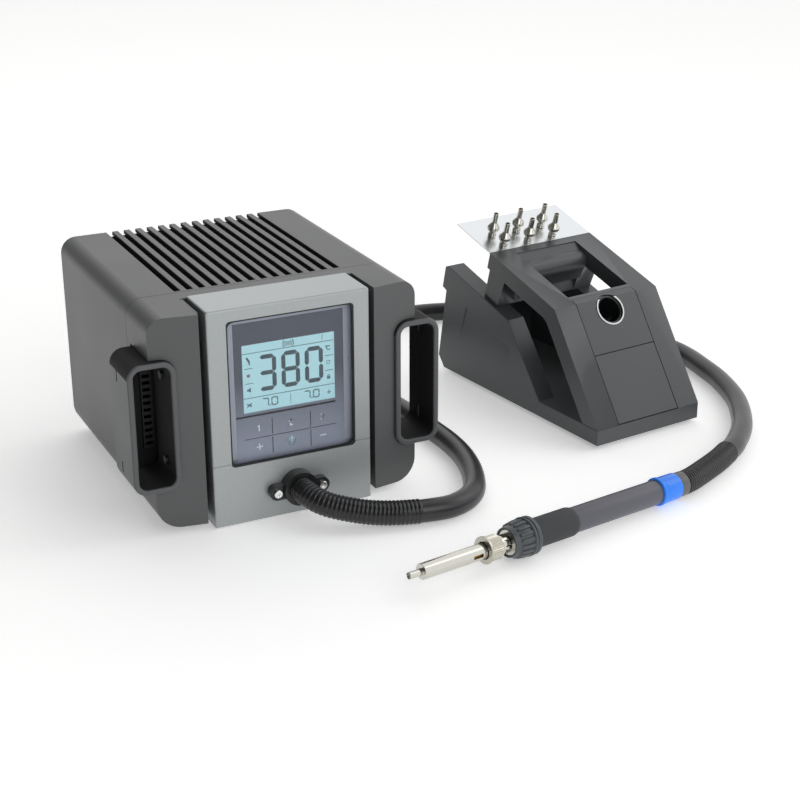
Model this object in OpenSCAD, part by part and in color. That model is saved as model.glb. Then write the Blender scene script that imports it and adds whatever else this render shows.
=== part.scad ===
// Hot-air rework station: a blower unit with two grab handles and a touch display, an air hose,
// a hand tool that lies on the bench, and a separate holder that carries a tray of spare nozzles.
// Millimetres. Z is up, the bench is z = 0, the front faces -Y, and the origin is on the bench
// under the middle of the whole set.

/* [Main unit] */
// Width of the unit without its handles
body_w = 197; // [180:1:240]
// Depth of the unit
body_d = 217; // [200:1:265]
// Height of the unit's top above the bench
body_h = 158; // [150:1:190]
// Radius of the long top edges
top_round = 12; // [6:1:16]
// Radius of the long bottom edges
bottom_round = 17; // [8:1:20]
// Wall of the covers
wall = 3; // [2:0.5:4]
// Height of the rubber feet, which is the height of the covers above the bench
foot_h = 5; // [3:1:8]
// Radius of a rubber foot
foot_r = 9; // [6:1:12]
// Depth of the front frame, back to the seam with the finned cover
frame_d = 53; // [50:1:60]
// Where the front frame's face starts behind the silver panel's face
frame_set = 2; // [1:0.5:4]
// How far the frame's face sweeps back at its outer edges
frame_sweep = 5.6; // [3:0.2:8]
// Gap kept between separate pieces that lie side by side
gap = 0.3; // [0.2:0.1:0.5]

/* [Fins] */
// Number of grooves in the top cover
groove_count = 14; // [8:1:15]
// Distance from one groove to the next
groove_pitch = 9.2; // [7:0.1:9.5]
// Width of a groove
groove_w = 4.4; // [3:0.2:5]
// Depth of a groove
groove_deep = 6; // [4:0.5:8]
// Distance between the seam and the front end of the grooves
groove_start = 3; // [2:0.5:8]

/* [Silver panel] */
// Width of the silver panel
panel_w = 119; // [110:1:125]
// Height of the silver panel's bottom edge above the bench
panel_low = 1; // [0.5:0.5:3]
// Height of the seam between its upper and lower piece
panel_seam = 46.6; // [42:0.2:50]
// How far the panel's top stands above the covers
panel_proud = 1.3; // [0.5:0.1:3]
// How far its top and sides run back
panel_back = 38.5; // [34:0.5:42]
// Sheet thickness of the panel
panel_t = 2.5; // [1.5:0.5:3]
// Dark gap at each side of the panel
side_gap = 4.5; // [3:0.5:6]
// Width of the light strip in the left gap
trim_w = 1.4; // [1:0.2:2]

/* [Display] */
// Width of the opening in the silver panel
opening_w = 93.5; // [90:0.5:98]
// Height of that opening
opening_h = 106.5; // [104:0.5:108]
// Height of the opening's lower edge above the bench
opening_low = 44; // [43:0.1:46]
// Corner radius of the opening
opening_round = 3; // [1:0.5:6]
// Sideways place of the display's middle
display_x = 0.9; // [-4:0.1:4]
// How far the clear window runs on behind the sheet, on every side
window_lap = 2; // [1:0.5:4]
// Thickness of the clear window
window_t = 3.2; // [2:0.2:4]
// Thickness of the printed sheet behind the window
mask_t = 0.4; // [0.3:0.1:0.8]
// Width of the liquid-crystal glass that shows
lcd_w = 68.4; // [60:0.2:72]
// Height of the liquid-crystal glass that shows
lcd_h = 49.6; // [40:0.1:52]
// Height of the glass's lower edge above the bench
lcd_low = 80.1; // [78:0.1:84]
// Height of the touch keys' lower edge above the bench
keys_low = 46.9; // [46:0.1:50]
// Height of the block of touch keys
keys_h = 27.8; // [22:0.2:30]

/* [Handles] */
// Height of a handle loop
handle_h = 94.5; // [85:0.5:105]
// Height of the loop's lower edge above the bench
handle_low = 34.5; // [30:0.5:40]
// How far the loop reaches from its inner wall to its outer wall
handle_reach = 34; // [30:1:38]
// Width of the part of the loop that stands beside the body
handle_out = 16.5; // [12:0.5:18]
// Depth of the loop, front to back
handle_d = 40; // [28:0.5:42]
// Depth of the recess in the frame behind the loop
recess_d = 46; // [42:0.5:47]
// Wall of the loop
handle_t = 4; // [3.5:0.1:5]
// Outer corner radius of the loop
handle_round = 10; // [7:0.5:12]
// How far the loop stands in front of the frame's swept face
handle_proud = 3; // [1:0.5:5]
// Number of louvre slots behind each handle
louvre_count = 12; // [6:1:12]
// Distance from one louvre slot to the next
louvre_pitch = 5; // [4.5:0.1:5.2]
// Height of a louvre slot
louvre_h = 2.4; // [2:0.1:3]
// Length of a louvre slot
louvre_w = 8; // [6:0.5:9]

/* [Blower] */
// Radius of the impeller
impeller_r = 39; // [32:1:40]
// Height of the impeller
impeller_h = 24; // [18:1:26]
// Clearance around the impeller
impeller_gap = 3; // [2:0.5:4]
// Number of impeller blades
blade_count = 12; // [8:1:16]
// Radius of the motor shaft
shaft_r = 2; // [1.5:0.5:3]
// Radius of the motor's case
motor_r = 18; // [14:1:22]
// Height of the motor's case
motor_h = 26; // [20:1:30]
// Bore radius of the air duct
duct_r = 8; // [6:0.5:8.5]
// Wall of the air duct and of the blower housing
duct_t = 2; // [1.5:0.5:2.5]
// Radius of the transformer
transformer_r = 38; // [30:1:40]
// Height of the transformer
transformer_h = 34; // [26:1:40]

/* [Rear fittings] */
// Width of the inlet's socket opening
socket_w = 24; // [22:0.5:26]
// Height of the inlet's socket opening
socket_h = 16; // [14:0.5:18]
// Width of the fuse drawer
drawer_w = 22; // [18:0.5:24]
// Height of the fuse drawer
drawer_h = 8; // [6:0.5:9]
// Length of the fuse drawer
drawer_l = 24; // [20:1:28]
// Width of the power rocker
rocker_w = 18; // [14:0.5:22]
// Height of the power rocker
rocker_h = 23; // [18:0.5:26]

/* [Hose] */
// Outer radius of the hose
hose_r = 8.3; // [7:0.1:9]
// Outer radius of the corrugated sleeves
sleeve_r = 8.9; // [8.6:0.1:10]
// Height of the hose socket's middle above the bench
outlet_z = 22; // [19:0.5:24]
// Radius of the hose socket's collar
outlet_r = 12.5; // [10:0.5:14]
// Distance between the two screws of the hose socket
outlet_screws = 34; // [30:0.5:40]
// Thickness of the hose socket's flange
outlet_flange = 6; // [4:0.5:8]

/* [Hand tool] */
// Radius of the nozzle's hot barrel
barrel_r = 5.5; // [5:0.1:6]
// Radius of the small outlet at the nozzle's tip
tip_r = 2.4; // [1.5:0.1:3]
// Radius of the knurled nut
nut_r = 8.6; // [8:0.1:10]
// Radius of the black collar's flange, on which the tool lies
flange_r = 13.7; // [12:0.1:15]
// Radius of the soft grip
grip_r = 10.3; // [9.5:0.1:11]
// Radius of the tool's tube
tube_r = 9; // [8.6:0.1:9.4]
// Radius of the blue ring
ring_r = 10.4; // [9.8:0.1:11]
// Length of the barrel in front of the nut
barrel_l = 52; // [40:1:60]
// Length of the soft grip
grip_l = 38; // [30:1:50]
// Length of the tube between the grip and the blue ring
tube_l = 81.5; // [70:0.5:90]

/* [Holder] */
// Width of the holder
holder_w = 104; // [96:1:120]
// Length of the holder's base
holder_l = 206; // [195:1:225]
// Height of the holder's rubber feet
holder_foot = 3; // [2:0.5:4]
// Height at which the upright front lip ends and the front slope starts
lip_h = 16; // [15:0.5:20]
// Slope of the front, degrees from level
front_slope = 55; // [52:1:58]
// Slope of the top, degrees from level
top_slope = 16; // [14:1:18]
// Length of the front slope
front_l = 100.3; // [95:0.1:105]
// Length of the top slope
top_l = 88; // [84:1:92]
// Thickness of the top bars
bar_t = 14; // [12:0.5:16]
// Thickness of the front posts, measured across their slope
post_t = 15.2; // [13:0.2:17]
// Width of the bars and posts at each side
post_w = 21.2; // [19:0.2:24]
// Thickness of the holder's floor
floor_t = 12.6; // [9:0.2:13]
// Thickness of each rear cheek
cheek_t = 16; // [12:0.5:18]
// Distance from the base's front to the foot of the cheeks
cheek_front = 72; // [68:1:76]
// Length of the cheeks' sloped top edge
cheek_top = 87.4; // [80:0.2:92]
// Height of the cheeks where that edge starts
cheek_h = 72; // [68:1:74]
// Radius of the round socket for the tool
socket_r = 13; // [11.5:0.5:14]
// Wall of the socket's steel ring
socket_ring_t = 1.4; // [1:0.1:2]
// Bore radius of the socket's liner
liner_r = 10; // [8.5:0.5:10.5]
// Length of the liner
liner_l = 34; // [26:1:36]
// Distance of the socket's middle below the top edge, along the slope
socket_drop = 10; // [9:0.5:12]

/* [Nozzle tray] */
// Length of the steel tray
tray_l = 48; // [44:1:56]
// Sheet thickness of the tray
tray_t = 1; // [0.8:0.1:1.5]
// Radius of a peg
peg_r = 1.5; // [1:0.1:1.8]
// Height of a peg
peg_h = 8; // [6:0.5:10]
// Height of a spare nozzle
nozzle_h = 21.6; // [18:0.2:26]
// Radius of a spare nozzle's bulge
nozzle_r = 5; // [4:0.1:5.5]
// Distance between columns of spare nozzles
column_pitch = 25.3; // [14:0.1:28]
// Distance between the two rows
row_pitch = 16.5; // [12:0.1:20]

/* [Hidden] */
$fn = 48;

// Where the three things stand on the bench
bench_gap = 0.1;
unit_at = [-120, -37, 0];
holder_at = [131, -38.3, 0];
holder_yaw = 7.5;
tool_at = [-8, -164.9, flange_r + bench_gap];
tool_yaw = 11.5;
tool_tilt = 1.5;

// Main unit
half_w = body_w/2;
shell_in = wall + gap;
channel = panel_w/2 + side_gap;
recess_x = half_w - (handle_reach - handle_out);
handle_high = handle_low + handle_h;
handle_mid = handle_low + handle_h/2;
slot_y = 24;
slot_w = 2;
slot_h = 8;
handle_front = frame_set + frame_sweep*(recess_x - channel)/(half_w - channel) - handle_proud;
louvre_back = recess_d + wall;
louvre_x = recess_x + handle_t + louvre_w/2 + 1;
pan_edge = half_w - bottom_round;
pan_t = 2;
pan_top = foot_h + wall + pan_t;
rear_t = 2;
rear_set = 2;
rear_y = body_d - rear_set - rear_t;
panel_top = body_h + panel_proud;
screw_r = 1.5;
head_r = 3;
head_h = 2;
bite = 8;

// Display, from the front to the back
window_y = panel_t;
mask_y = window_y + window_t;
lcd_y = mask_y + mask_t + 0.1;
lcd_t = 5;
pad_t = 2;
board_y = lcd_y + lcd_t;
board_t = 1.6;
board_edge = 6;

// Blower: the housing's left inner wall is tangent to the duct, which runs straight to the socket
outlet_x = 2;
ear_z = -1;
ear_r = 5.5;
housing_in = impeller_r + impeller_gap;
housing_out = housing_in + duct_t;
blower_x = outlet_x - duct_r + housing_in;
blower_y = 128;
blower_low = pan_top;
housing_h = impeller_h + 2*impeller_gap + duct_t;
impeller_low = blower_low + duct_t + impeller_gap;
eye_r = impeller_r*0.5;
cover_t = 3;
motor_low = blower_low + housing_h + cover_t;
duct_out = duct_r + duct_t;
duct_end = blower_y - housing_in*0.5;
transformer_at = [-half_w + wall + transformer_r + 9, body_d - transformer_r - 26, pan_top];
board_low = motor_low + motor_h + 4;
post_r = 3;

// Rear fittings, seen from behind the inlet is at the right
inlet_x = -52;
inlet_z = 110;
inlet_flange = 3;
inlet_deep = 32;
socket_deep = 17;
drawer_low = -socket_h/2 - drawer_h - 3;
rocker_x = inlet_x + 48;
rocker_wall = 2.5;
rocker_play = 0.6;
rocker_deep = 18;
rocker_pin_r = 1.5;
rocker_y = rear_y + rear_t + 2;

// Hose: the middle of the tube, by hand from the socket to the tool's neck
route = [[-118, -46, 22], [-117, -54.5, 21.5], [-112, -64.5, 19], [-102, -72.5, 16], [-84, -81, 12.2],
  [-66, -86.1, 9.9], [-47.5, -90.3, 9.1], [-22, -91.5, 8.6], [0, -79, 8.5], [15, -52, 8.5],
  [24, -21, 8.5], [27, 7, 8.5], [26.5, 33.5, 8.5], [25, 63.5, 8.5], [22, 95.5, 8.5],
  [17, 131.5, 8.5], [13, 168.5, 8.5], [16, 205.5, 8.5], [30, 241.5, 8.5], [56, 268.5, 8.5],
  [88, 284.5, 8.5], [120, 289.5, 8.5], [152, 286.5, 8.5], [186, 273.5, 8.5], [220, 250.5, 8.5],
  [250, 218.5, 8.5], [274, 180.5, 8.5], [290, 139.5, 8.5], [298, 103.5, 8.5], [299, 79.5, 8.5],
  [296, 54.5, 8.5], [290, 21, 8.5], [275, -21.5, 8.5], [249, -63, 8.5], [222, -90.7, 8.7],
  [205.5, -102.3, 9], [190, -112, 9.1], [170, -122.5, 9.3], [152, -131.3, 9.6], [142, -134.5, 9.8]];
hose_sides = 10;
hose_cuts = 2;
unit_sleeve_end = 6;
tool_sleeve_start = 35;
sleeve_cuts = 4;

// Hand tool, along its own axis from the collar's flange towards the hose
flange_l = 6;
collar_l = 15;
collar_ribs = 18;
nut_back = -23;
nut_l = 10;
nut_front = nut_back - nut_l;
rim_t = 2;
barrel_front = nut_front - rim_t - barrel_l;
tip_l = 10;
neck_l = 8.5;
grip_end = flange_l + grip_l;
ring_start = grip_end + tube_l;
ring_l = 19;
neck_end = ring_start + ring_l + neck_l;
run_gap = 0.06;
bracket_r = nut_r - 2;
plate_t = 1;
plate_back = 2 - collar_l;
bracket_rim = 2.5;
window_w = 5;
barrel_wall = 0.8;

// Holder: corners of its side view, as [y, z]
brow = [front_l*cos(front_slope), lip_h + front_l*sin(front_slope)];
crown = brow + top_l*[cos(top_slope), sin(top_slope)];
floor_z = holder_foot + floor_t;
post_run = post_t/sin(front_slope);
window_start = [(floor_z - lip_h)/tan(front_slope) + post_run, floor_z];
window_corner = window_start + (brow[1] - bar_t - floor_z)*[1/tan(front_slope), 1];
bar_under = [crown[0], crown[1] - bar_t/cos(top_slope)];
bar_start = [window_corner[0] + 5, bar_under[1] - (bar_under[0] - window_corner[0] - 5)*tan(top_slope)];
cheek_bend = [cheek_front + (cheek_h - floor_z)*43.7/55.4, cheek_h];
cheek_tip = cheek_bend + cheek_top*[cos(top_slope), sin(top_slope)];
holder_rear = holder_l + 8;
holder_foot_r = 6;
leg_in = 3;
leg_cut = 40;
leg_l = 17;
leg_rear = cheek_bend + 36*[1, tan(top_slope)];
leg_front = leg_rear - leg_l*[1, tan(top_slope)];
insert_gap = 0.5;
insert_t = 4;
insert_back = 2.5;
insert_seam = 57;
insert_foot = (floor_z + gap - lip_h + insert_t*cos(front_slope))/sin(front_slope);
crease_deep = 1;
crease_l = 64;
crease_fade = 32;
crease_start = cheek_bend + [-3.5, -23];
bar_set = 7;
crossbar_h = 32;
crossbar_nose = 8;
weight_x = 14;
weight_y = 90;
weight_l = 84;
weight_t = 6;
socket_at = front_l - socket_drop;
peg_x = 17;
peg_y = 5.5;
tray_lip = 11;

// ---- helpers -------------------------------------------------------------------------------

module at_unit() translate(unit_at) children();
module at_holder() translate(holder_at) rotate([0, 0, holder_yaw]) children();
module at_tool() translate(tool_at) rotate([0, tool_tilt, tool_yaw]) children();

// An outline drawn as (x, z), pushed from y0 to y1
module along_y(y0, y1) translate([0, y1, 0]) rotate([90, 0, 0]) linear_extrude(y1 - y0) children();

// An outline drawn as (y, z), pushed from x0 to x1
module along_x(x0, x1) translate([x0, 0, 0]) rotate([90, 0, 90]) linear_extrude(x1 - x0) children();

// A round bar along X from x0 to x1
module rod_x(x0, x1, r, r_end = undef)
  translate([x0, 0, 0]) rotate([0, 90, 0]) cylinder(h = x1 - x0, r1 = r, r2 = is_undef(r_end) ? r : r_end);

// A round bar along Y from y0 to y1
module rod_y(y0, y1, r) translate([0, y1, 0]) rotate([90, 0, 0]) cylinder(h = y1 - y0, r = r);

module both_sides() for (side = [0, 1]) mirror([side, 0, 0]) children();

// A rectangle with true round corners, lower left corner at [x, y]
module soft_rect(x, y, w, h, r) {
  translate([x + r, y]) square([w - 2*r, h]);
  translate([x, y + r]) square([w, h - 2*r]);
  for (cx = [x + r, x + w - r], cy = [y + r, y + h - r]) translate([cx, cy]) circle(r);
}

// Front view of the unit's covers, shrunk by inset
module body_outline(inset = 0) {
  w = half_w - inset;
  low = foot_h + inset;
  high = body_h - inset;
  rt = max(top_round - inset, 1);
  rb = max(bottom_round - inset, 1);
  translate([-w, low + rb]) square([2*w, high - rt - low - rb]);
  translate([rt - w, low + rb]) square([2*(w - rt), high - low - rb]);
  translate([rb - w, low]) square([2*(w - rb), high - rt - low]);
  for (side = [-1, 1]) {
    translate([side*(w - rt), high - rt]) circle(rt);
    translate([side*(w - rb), low + rb]) circle(rb);
  }
}

// Front view of a handle loop's outer edge, grown by a clearance
module handle_outline(grow = 0)
  soft_rect(recess_x - grow, handle_low - grow, handle_reach + 2*grow, handle_h + 2*grow,
    handle_round + grow);

// A pan-head screw along Y, with its head's face towards -Y at y = 0
module screw_y(length) {
  difference() {
    rod_y(0, head_h, head_r);
    rod_y(-1, 1, head_r/2);
  }
  rod_y(head_h, head_h + length, screw_r);
}

// ---- main unit -----------------------------------------------------------------------------

module rear_cover() color("#6a6c6d") at_unit() difference() {
  union() {
    along_y(frame_d, body_d) difference() {
      body_outline();
      body_outline(wall);
      translate([wall*3 - pan_edge, 0]) square([2*(pan_edge - wall*3), foot_h + 2*wall]);
    }
    // thick top that the grooves are cut into
    translate([-fin_span()/2 - wall, frame_d, body_h - wall - groove_deep])
      cube([fin_span() + 2*wall, rear_y - gap - frame_d, groove_deep + wall/2]);
  }
  for (i = [0 : groove_count - 1])
    translate([i*groove_pitch - fin_span()/2, frame_d + groove_start, body_h - groove_deep])
      cube([groove_w, body_d, groove_deep + 1]);
}

function fin_span() = (groove_count - 1)*groove_pitch + groove_w;

module front_frame() color("#5c5e5f") at_unit() difference() {
  along_y(frame_set, frame_d - gap) body_outline();
  // swept-back faces
  both_sides() linear_extrude(body_h + 1)
    polygon([[channel, frame_set - 1], [channel, frame_set], [half_w, frame_set + frame_sweep],
      [half_w + 1, frame_set + frame_sweep], [half_w + 1, frame_set - 1]]);
  // channel for the silver panel, and the opening for its wires and the air duct
  translate([-channel, -1, -1]) cube([2*channel, panel_back + 1.5, body_h + 2]);
  translate([wall - channel, panel_back, foot_h + wall])
    cube([2*(channel - wall), frame_d, body_h - foot_h - 3*wall]);
  // hollow sides
  along_y(frame_set + frame_sweep + wall, frame_d) difference() {
    body_outline(wall);
    translate([-channel - wall, 0]) square([2*(channel + wall), body_h]);
    both_sides() handle_outline(wall);
  }
  both_sides() along_y(louvre_back, frame_d) translate([recess_x - wall, handle_low - wall])
    square([half_w - recess_x, handle_h + 2*wall]);
  // recesses behind the handles, and the windows that the louvres fill
  both_sides() along_y(-1, recess_d) handle_outline(gap);
  both_sides() along_y(recess_d - 1, frame_d)
    translate([louvre_x - louvre_w/2, handle_mid - louvre_tall()/2]) square([louvre_w, louvre_tall()]);
  handle_screw_places() rod_x(-2*wall, 2*wall, screw_r + gap/3);
}

function louvre_tall() = louvre_count*louvre_pitch + 2;

module vent_grilles() color("#2b2d2f") at_unit() both_sides()
  translate([louvre_x - louvre_w/2 + gap, 0, handle_mid - louvre_tall()/2 + gap]) difference() {
    translate([0, recess_d - 2, 0]) cube([louvre_w - 2*gap, wall + 2, louvre_tall() - 2*gap]);
    for (i = [0 : louvre_count - 1])
      translate([1, recess_d - 3, 1 + i*louvre_pitch + louvre_h/2])
        cube([louvre_w - 2 - 2*gap, wall + 5, louvre_h]);
  }

// Both screws of the right handle; the left ones are their mirror image
module handle_screw_places() both_sides()
  for (z = [handle_low + 16, handle_high - 16]) translate([recess_x, frame_set + 19, z]) children();

module handle_loop() difference() {
  along_y(handle_front, handle_front + handle_d) difference() {
    handle_outline();
    soft_rect(recess_x + handle_t, handle_low + handle_t, handle_reach - 2*handle_t,
      handle_h - 2*handle_t, handle_round - handle_t);
  }
  // a slot through the outer wall near each of its ends
  for (z = [handle_low + handle_round, handle_high - handle_round - slot_h])
    translate([recess_x + handle_reach/2, handle_front + slot_y, z]) cube([handle_reach, slot_w, slot_h]);
  handle_screw_places() rod_x(-1, 2*handle_t, screw_r + gap/3);
}

module handle_right() color("#58595b") at_unit() handle_loop();
module handle_left() color("#58595b") at_unit() mirror([1, 0, 0]) handle_loop();

module handle_screws() color("#b9bbbd") at_unit() handle_screw_places() {
  rod_x(-wall - 2, handle_t, screw_r);
  rod_x(handle_t, handle_t + head_h, head_r);
}

// The silver channel: a front, a top and two sides in folded sheet
module panel_block(low, high, inner_high) difference() {
  translate([-panel_w/2, 0, low]) cube([panel_w, panel_back, high - low]);
  translate([panel_t - panel_w/2, panel_t, low - 1])
    cube([panel_w - 2*panel_t, panel_back, inner_high - low + 1]);
}

module display_opening() along_y(-1, panel_t + 1)
  soft_rect(display_x - opening_w/2, opening_low, opening_w, opening_h, opening_round);

module panel_upper() color("#a3a7a9") at_unit() difference() {
  panel_block(panel_seam + gap, panel_top, panel_top - panel_t);
  display_opening();
}

module panel_lower() color("#969b9d") at_unit() difference() {
  panel_block(panel_low, panel_seam, panel_seam + 1);
  display_opening();
  translate([outlet_x, 0, outlet_z]) rod_y(-1, panel_t + 1, duct_out + gap);
  for (side = [-1, 1]) translate([outlet_x + side*outlet_screws/2, 0, outlet_z + ear_z])
    rod_y(-1, panel_t + 1, screw_r + gap/3);
}

module gap_trim() color("#8d9193") at_unit()
  translate([-channel, frame_set + 4, foot_h]) cube([trim_w, panel_back - frame_set - 5, body_h - foot_h]);

module window_outline() soft_rect(display_x - opening_w/2 - window_lap, opening_low - window_lap,
  opening_w + 2*window_lap, opening_h + 2*window_lap, opening_round + window_lap);

module display_window() color("#8f93a6", 0.5) at_unit() along_y(window_y, mask_y) window_outline();

module display_mask() color("#555b66") at_unit() along_y(mask_y, mask_y + mask_t) difference() {
  window_outline();
  translate([display_x - lcd_w/2, lcd_low]) square([lcd_w, lcd_h]);
}

module lcd_module() color("#a5d3d8") at_unit()
  translate([display_x - lcd_w/2 - gap, lcd_y, lcd_low - gap]) cube([lcd_w + 2*gap, lcd_t, lcd_h + 2*gap]);

module touch_key_pad() color("#6d7482") at_unit()
  translate([display_x - lcd_w/2, lcd_y, keys_low]) cube([lcd_w, pad_t, keys_h]);

module display_board() color("#2f5d46") at_unit() {
  translate([display_x - lcd_w/2 - board_edge, board_y, keys_low])
    cube([lcd_w + 2*board_edge, board_t, lcd_low + lcd_h - keys_low]);
  // the keys' touch chip and the flat-cable socket
  translate([display_x - 8, board_y + board_t, keys_low + 10]) cube([16, 1.5, 8]);
  translate([display_x + 14, board_y + board_t, keys_low + 6]) cube([18, 6, 5]);
}

module base_pan() color("#8a8d90") at_unit() difference() {
  translate([gap - pan_edge, frame_d + 1, foot_h + wall])
    cube([2*(pan_edge - gap), rear_y - frame_d - 1 - gap, pan_t]);
  for (i = [0 : 9]) translate([-42 + i*9, frame_d + 12, 0]) cube([4, 22, pan_top + 1]);
}

module foot_places() for (x = [-1, 1], y = [frame_d + 22, body_d - 24])
  translate([x*(pan_edge - 26), y, 0]) children();

module unit_feet() color("#1d1e20") at_unit() foot_places() cylinder(h = foot_h + wall, r = foot_r);

module rear_panel() color("#5a5c5e") at_unit() along_y(rear_y, rear_y + rear_t) difference() {
  body_outline(shell_in);
  translate([inlet_x - socket_w/2 - 3, inlet_z + drawer_low - 2])
    square([socket_w + 6, socket_h/2 - drawer_low + 4]);
  translate([rocker_x - rocker_w/2 - rocker_wall, inlet_z - rocker_h/2 - rocker_wall])
    square([rocker_w + 2*rocker_wall, rocker_h + 2*rocker_wall]);
  // cooling slots
  for (i = [0 : 8]) translate([24 + i*6, 60]) square([3, 60]);
}

// ---- inside the unit -----------------------------------------------------------------------

module at_blower() translate([blower_x, blower_y, blower_low]) children();

module blower_housing() color("#34373a") at_unit() difference() {
  union() {
    at_blower() cylinder(h = housing_h, r = housing_out);
    translate([outlet_x, 0, outlet_z]) rod_y(duct_end - housing_in*0.5, blower_y, duct_out);
  }
  at_blower() translate([0, 0, duct_t]) cylinder(h = housing_h, r = housing_in);
  translate([outlet_x, 0, outlet_z]) rod_y(duct_end - housing_in, blower_y, duct_r);
}

module blower_cover() color("#3d4043") at_unit() at_blower() translate([0, 0, housing_h]) difference() {
  cylinder(h = cover_t, r = housing_out);
  for (turn = [0 : 60 : 300]) rotate(turn) translate([motor_r + 8, 0, -1]) cylinder(h = cover_t + 2, r = 5);
  translate([0, 0, -1]) cylinder(h = cover_t + 2, r = shaft_r + 2);
}

module blower_motor() color("#9a9ea1") at_unit() at_blower()
  translate([0, 0, housing_h + cover_t]) difference() {
    cylinder(h = motor_h, r = motor_r);
    translate([0, 0, -1]) cylinder(h = motor_h - 3, r = shaft_r + run_gap);
  }

module motor_shaft() color("#c9ccce") at_unit() at_blower()
  translate([0, 0, duct_t + impeller_gap + 1])
    cylinder(h = motor_low - impeller_low + motor_h - 8, r = shaft_r);

module blower_impeller() color("#e4e2da") at_unit() at_blower()
  translate([0, 0, duct_t + impeller_gap]) difference() {
    union() {
      cylinder(h = 2, r = impeller_r);
      cylinder(h = impeller_h, r = shaft_r + 4);
      for (i = [0 : blade_count - 1]) rotate(i*360/blade_count) translate([eye_r, 0, 0]) rotate(-25)
        cube([impeller_r - eye_r - 4, 1.6, impeller_h]);
    }
    translate([0, 0, 1]) cylinder(h = impeller_h, r = shaft_r);
  }

module air_duct() color("#c8c4b8") at_unit() translate([outlet_x, 0, outlet_z]) difference() {
  rod_y(panel_t + gap, duct_end - housing_in*0.5, duct_out);
  rod_y(0, body_d, duct_r);
}

module transformer() color("#b06f33") at_unit() translate(transformer_at) difference() {
  cylinder(h = transformer_h, r = transformer_r);
  translate([0, 0, -1]) cylinder(h = transformer_h + 2, r = transformer_r*0.3);
}

module main_board() color("#2c6a48") at_unit() {
  translate([-60, frame_d + 14, board_low]) cube([120, 132, board_t]);
  for (x = [-54, 54], y = [frame_d + 20, frame_d + 142]) translate([x, y, pan_top])
    cylinder(h = board_low - pan_top + board_t/2, r = post_r);
  // capacitors, a relay, and the plug row along the rear edge
  for (i = [0 : 2]) translate([-44, frame_d + 40 + i*26, board_low + board_t]) cylinder(h = 26, r = 9);
  translate([-22, frame_d + 30, board_low + board_t]) cube([20, 28, 16]);
  translate([-20, frame_d + 128, board_low + board_t]) cube([64, 10, 12]);
}

module heat_sink() color("#aeb2b5") at_unit()
  translate([10, frame_d + 34, board_low + board_t]) difference() {
    cube([44, 70, 28]);
    for (i = [0 : 5]) translate([3 + i*7, -1, 6]) cube([4, 72, 30]);
  }

module at_rear(x) translate([x, rear_y + rear_t, inlet_z]) children();

module mains_inlet() color("#232527") at_unit() at_rear(inlet_x) difference() {
  union() {
    along_y(0, inlet_flange) soft_rect(-socket_w/2 - 8, drawer_low - 4, socket_w + 16,
      socket_h/2 + 9 - drawer_low, 3);
    translate([-socket_w/2 - 2, -inlet_deep, drawer_low - 1.5])
      cube([socket_w + 4, inlet_deep, socket_h/2 + 3 - drawer_low]);
  }
  translate([-socket_w/2, -socket_deep, -socket_h/2]) cube([socket_w, 2*socket_deep, socket_h]);
  translate([-drawer_w/2 - gap, -drawer_l - gap, drawer_low - gap])
    cube([drawer_w + 2*gap, 2*drawer_l, drawer_h + 2*gap]);
}

module fuse_drawer() color("#1b1d1f") at_unit() at_rear(inlet_x)
  translate([-drawer_w/2, -drawer_l, drawer_low]) difference() {
    cube([drawer_w, drawer_l + inlet_flange + 1, drawer_h]);
    // two wells for glass fuses
    for (x = [4, drawer_w/2 + 1.5]) translate([x, 3, 2])
      cube([drawer_w/2 - 5.5, drawer_l - 4, drawer_h]);
    translate([drawer_w/2 - 4, drawer_l + inlet_flange - 0.5, -1]) cube([8, 3, 2]);
  }

module rocker_frame() color("#232527") at_unit() at_rear(rocker_x) difference() {
  union() {
    along_y(0, inlet_flange) soft_rect(-rocker_w/2 - 5, -rocker_h/2 - 5, rocker_w + 10, rocker_h + 10, 2);
    along_y(-rocker_deep, 0)
      square([rocker_w + 2*(rocker_wall - gap), rocker_h + 2*(rocker_wall - gap)], center = true);
  }
  along_y(2 - rocker_deep, 2*inlet_flange)
    square([rocker_w + 2*rocker_play, rocker_h + 2*rocker_play], center = true);
  translate([0, rocker_y - rear_y - rear_t, 0]) rod_x(-rocker_w, rocker_w, rocker_pin_r + run_gap);
}

module power_rocker() color("#b3262a") at_unit() translate([rocker_x, rocker_y, inlet_z]) {
  along_x(-rocker_w/2, rocker_w/2) polygon([[3, -rocker_h/2 + 1], [0.8, 0], [3 - 3.6, rocker_h/2 - 0.4],
    [-7, rocker_h/4], [-7, -rocker_h/4], [-1, -rocker_h/2 + 0.6]]);
  rod_x(-rocker_w/2 - rocker_play - 1.5, rocker_w/2 + rocker_play + 1.5, rocker_pin_r);
}

// ---- hose ----------------------------------------------------------------------------------

// Smooth curve through the route: a cubic between points i and i+1 at share t, leaving each
// point along the line between its two neighbours
function hold(i) = route[max(0, min(len(route) - 1, i))];
function smooth(i, t) = let(a = hold(i - 1), b = hold(i), c = hold(i + 1), d = hold(i + 2))
  0.5*(2*b + (c - a)*t + (2*a - 5*b + 4*c - d)*t*t + (3*b - a - 3*c + d)*t*t*t);
function stretch(from, to, cuts) = concat(
  [for (i = [from : to - 1], k = [0 : cuts - 1]) smooth(i, k/cuts)], [route[to]]);
function unit(v) = v/norm(v);

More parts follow.
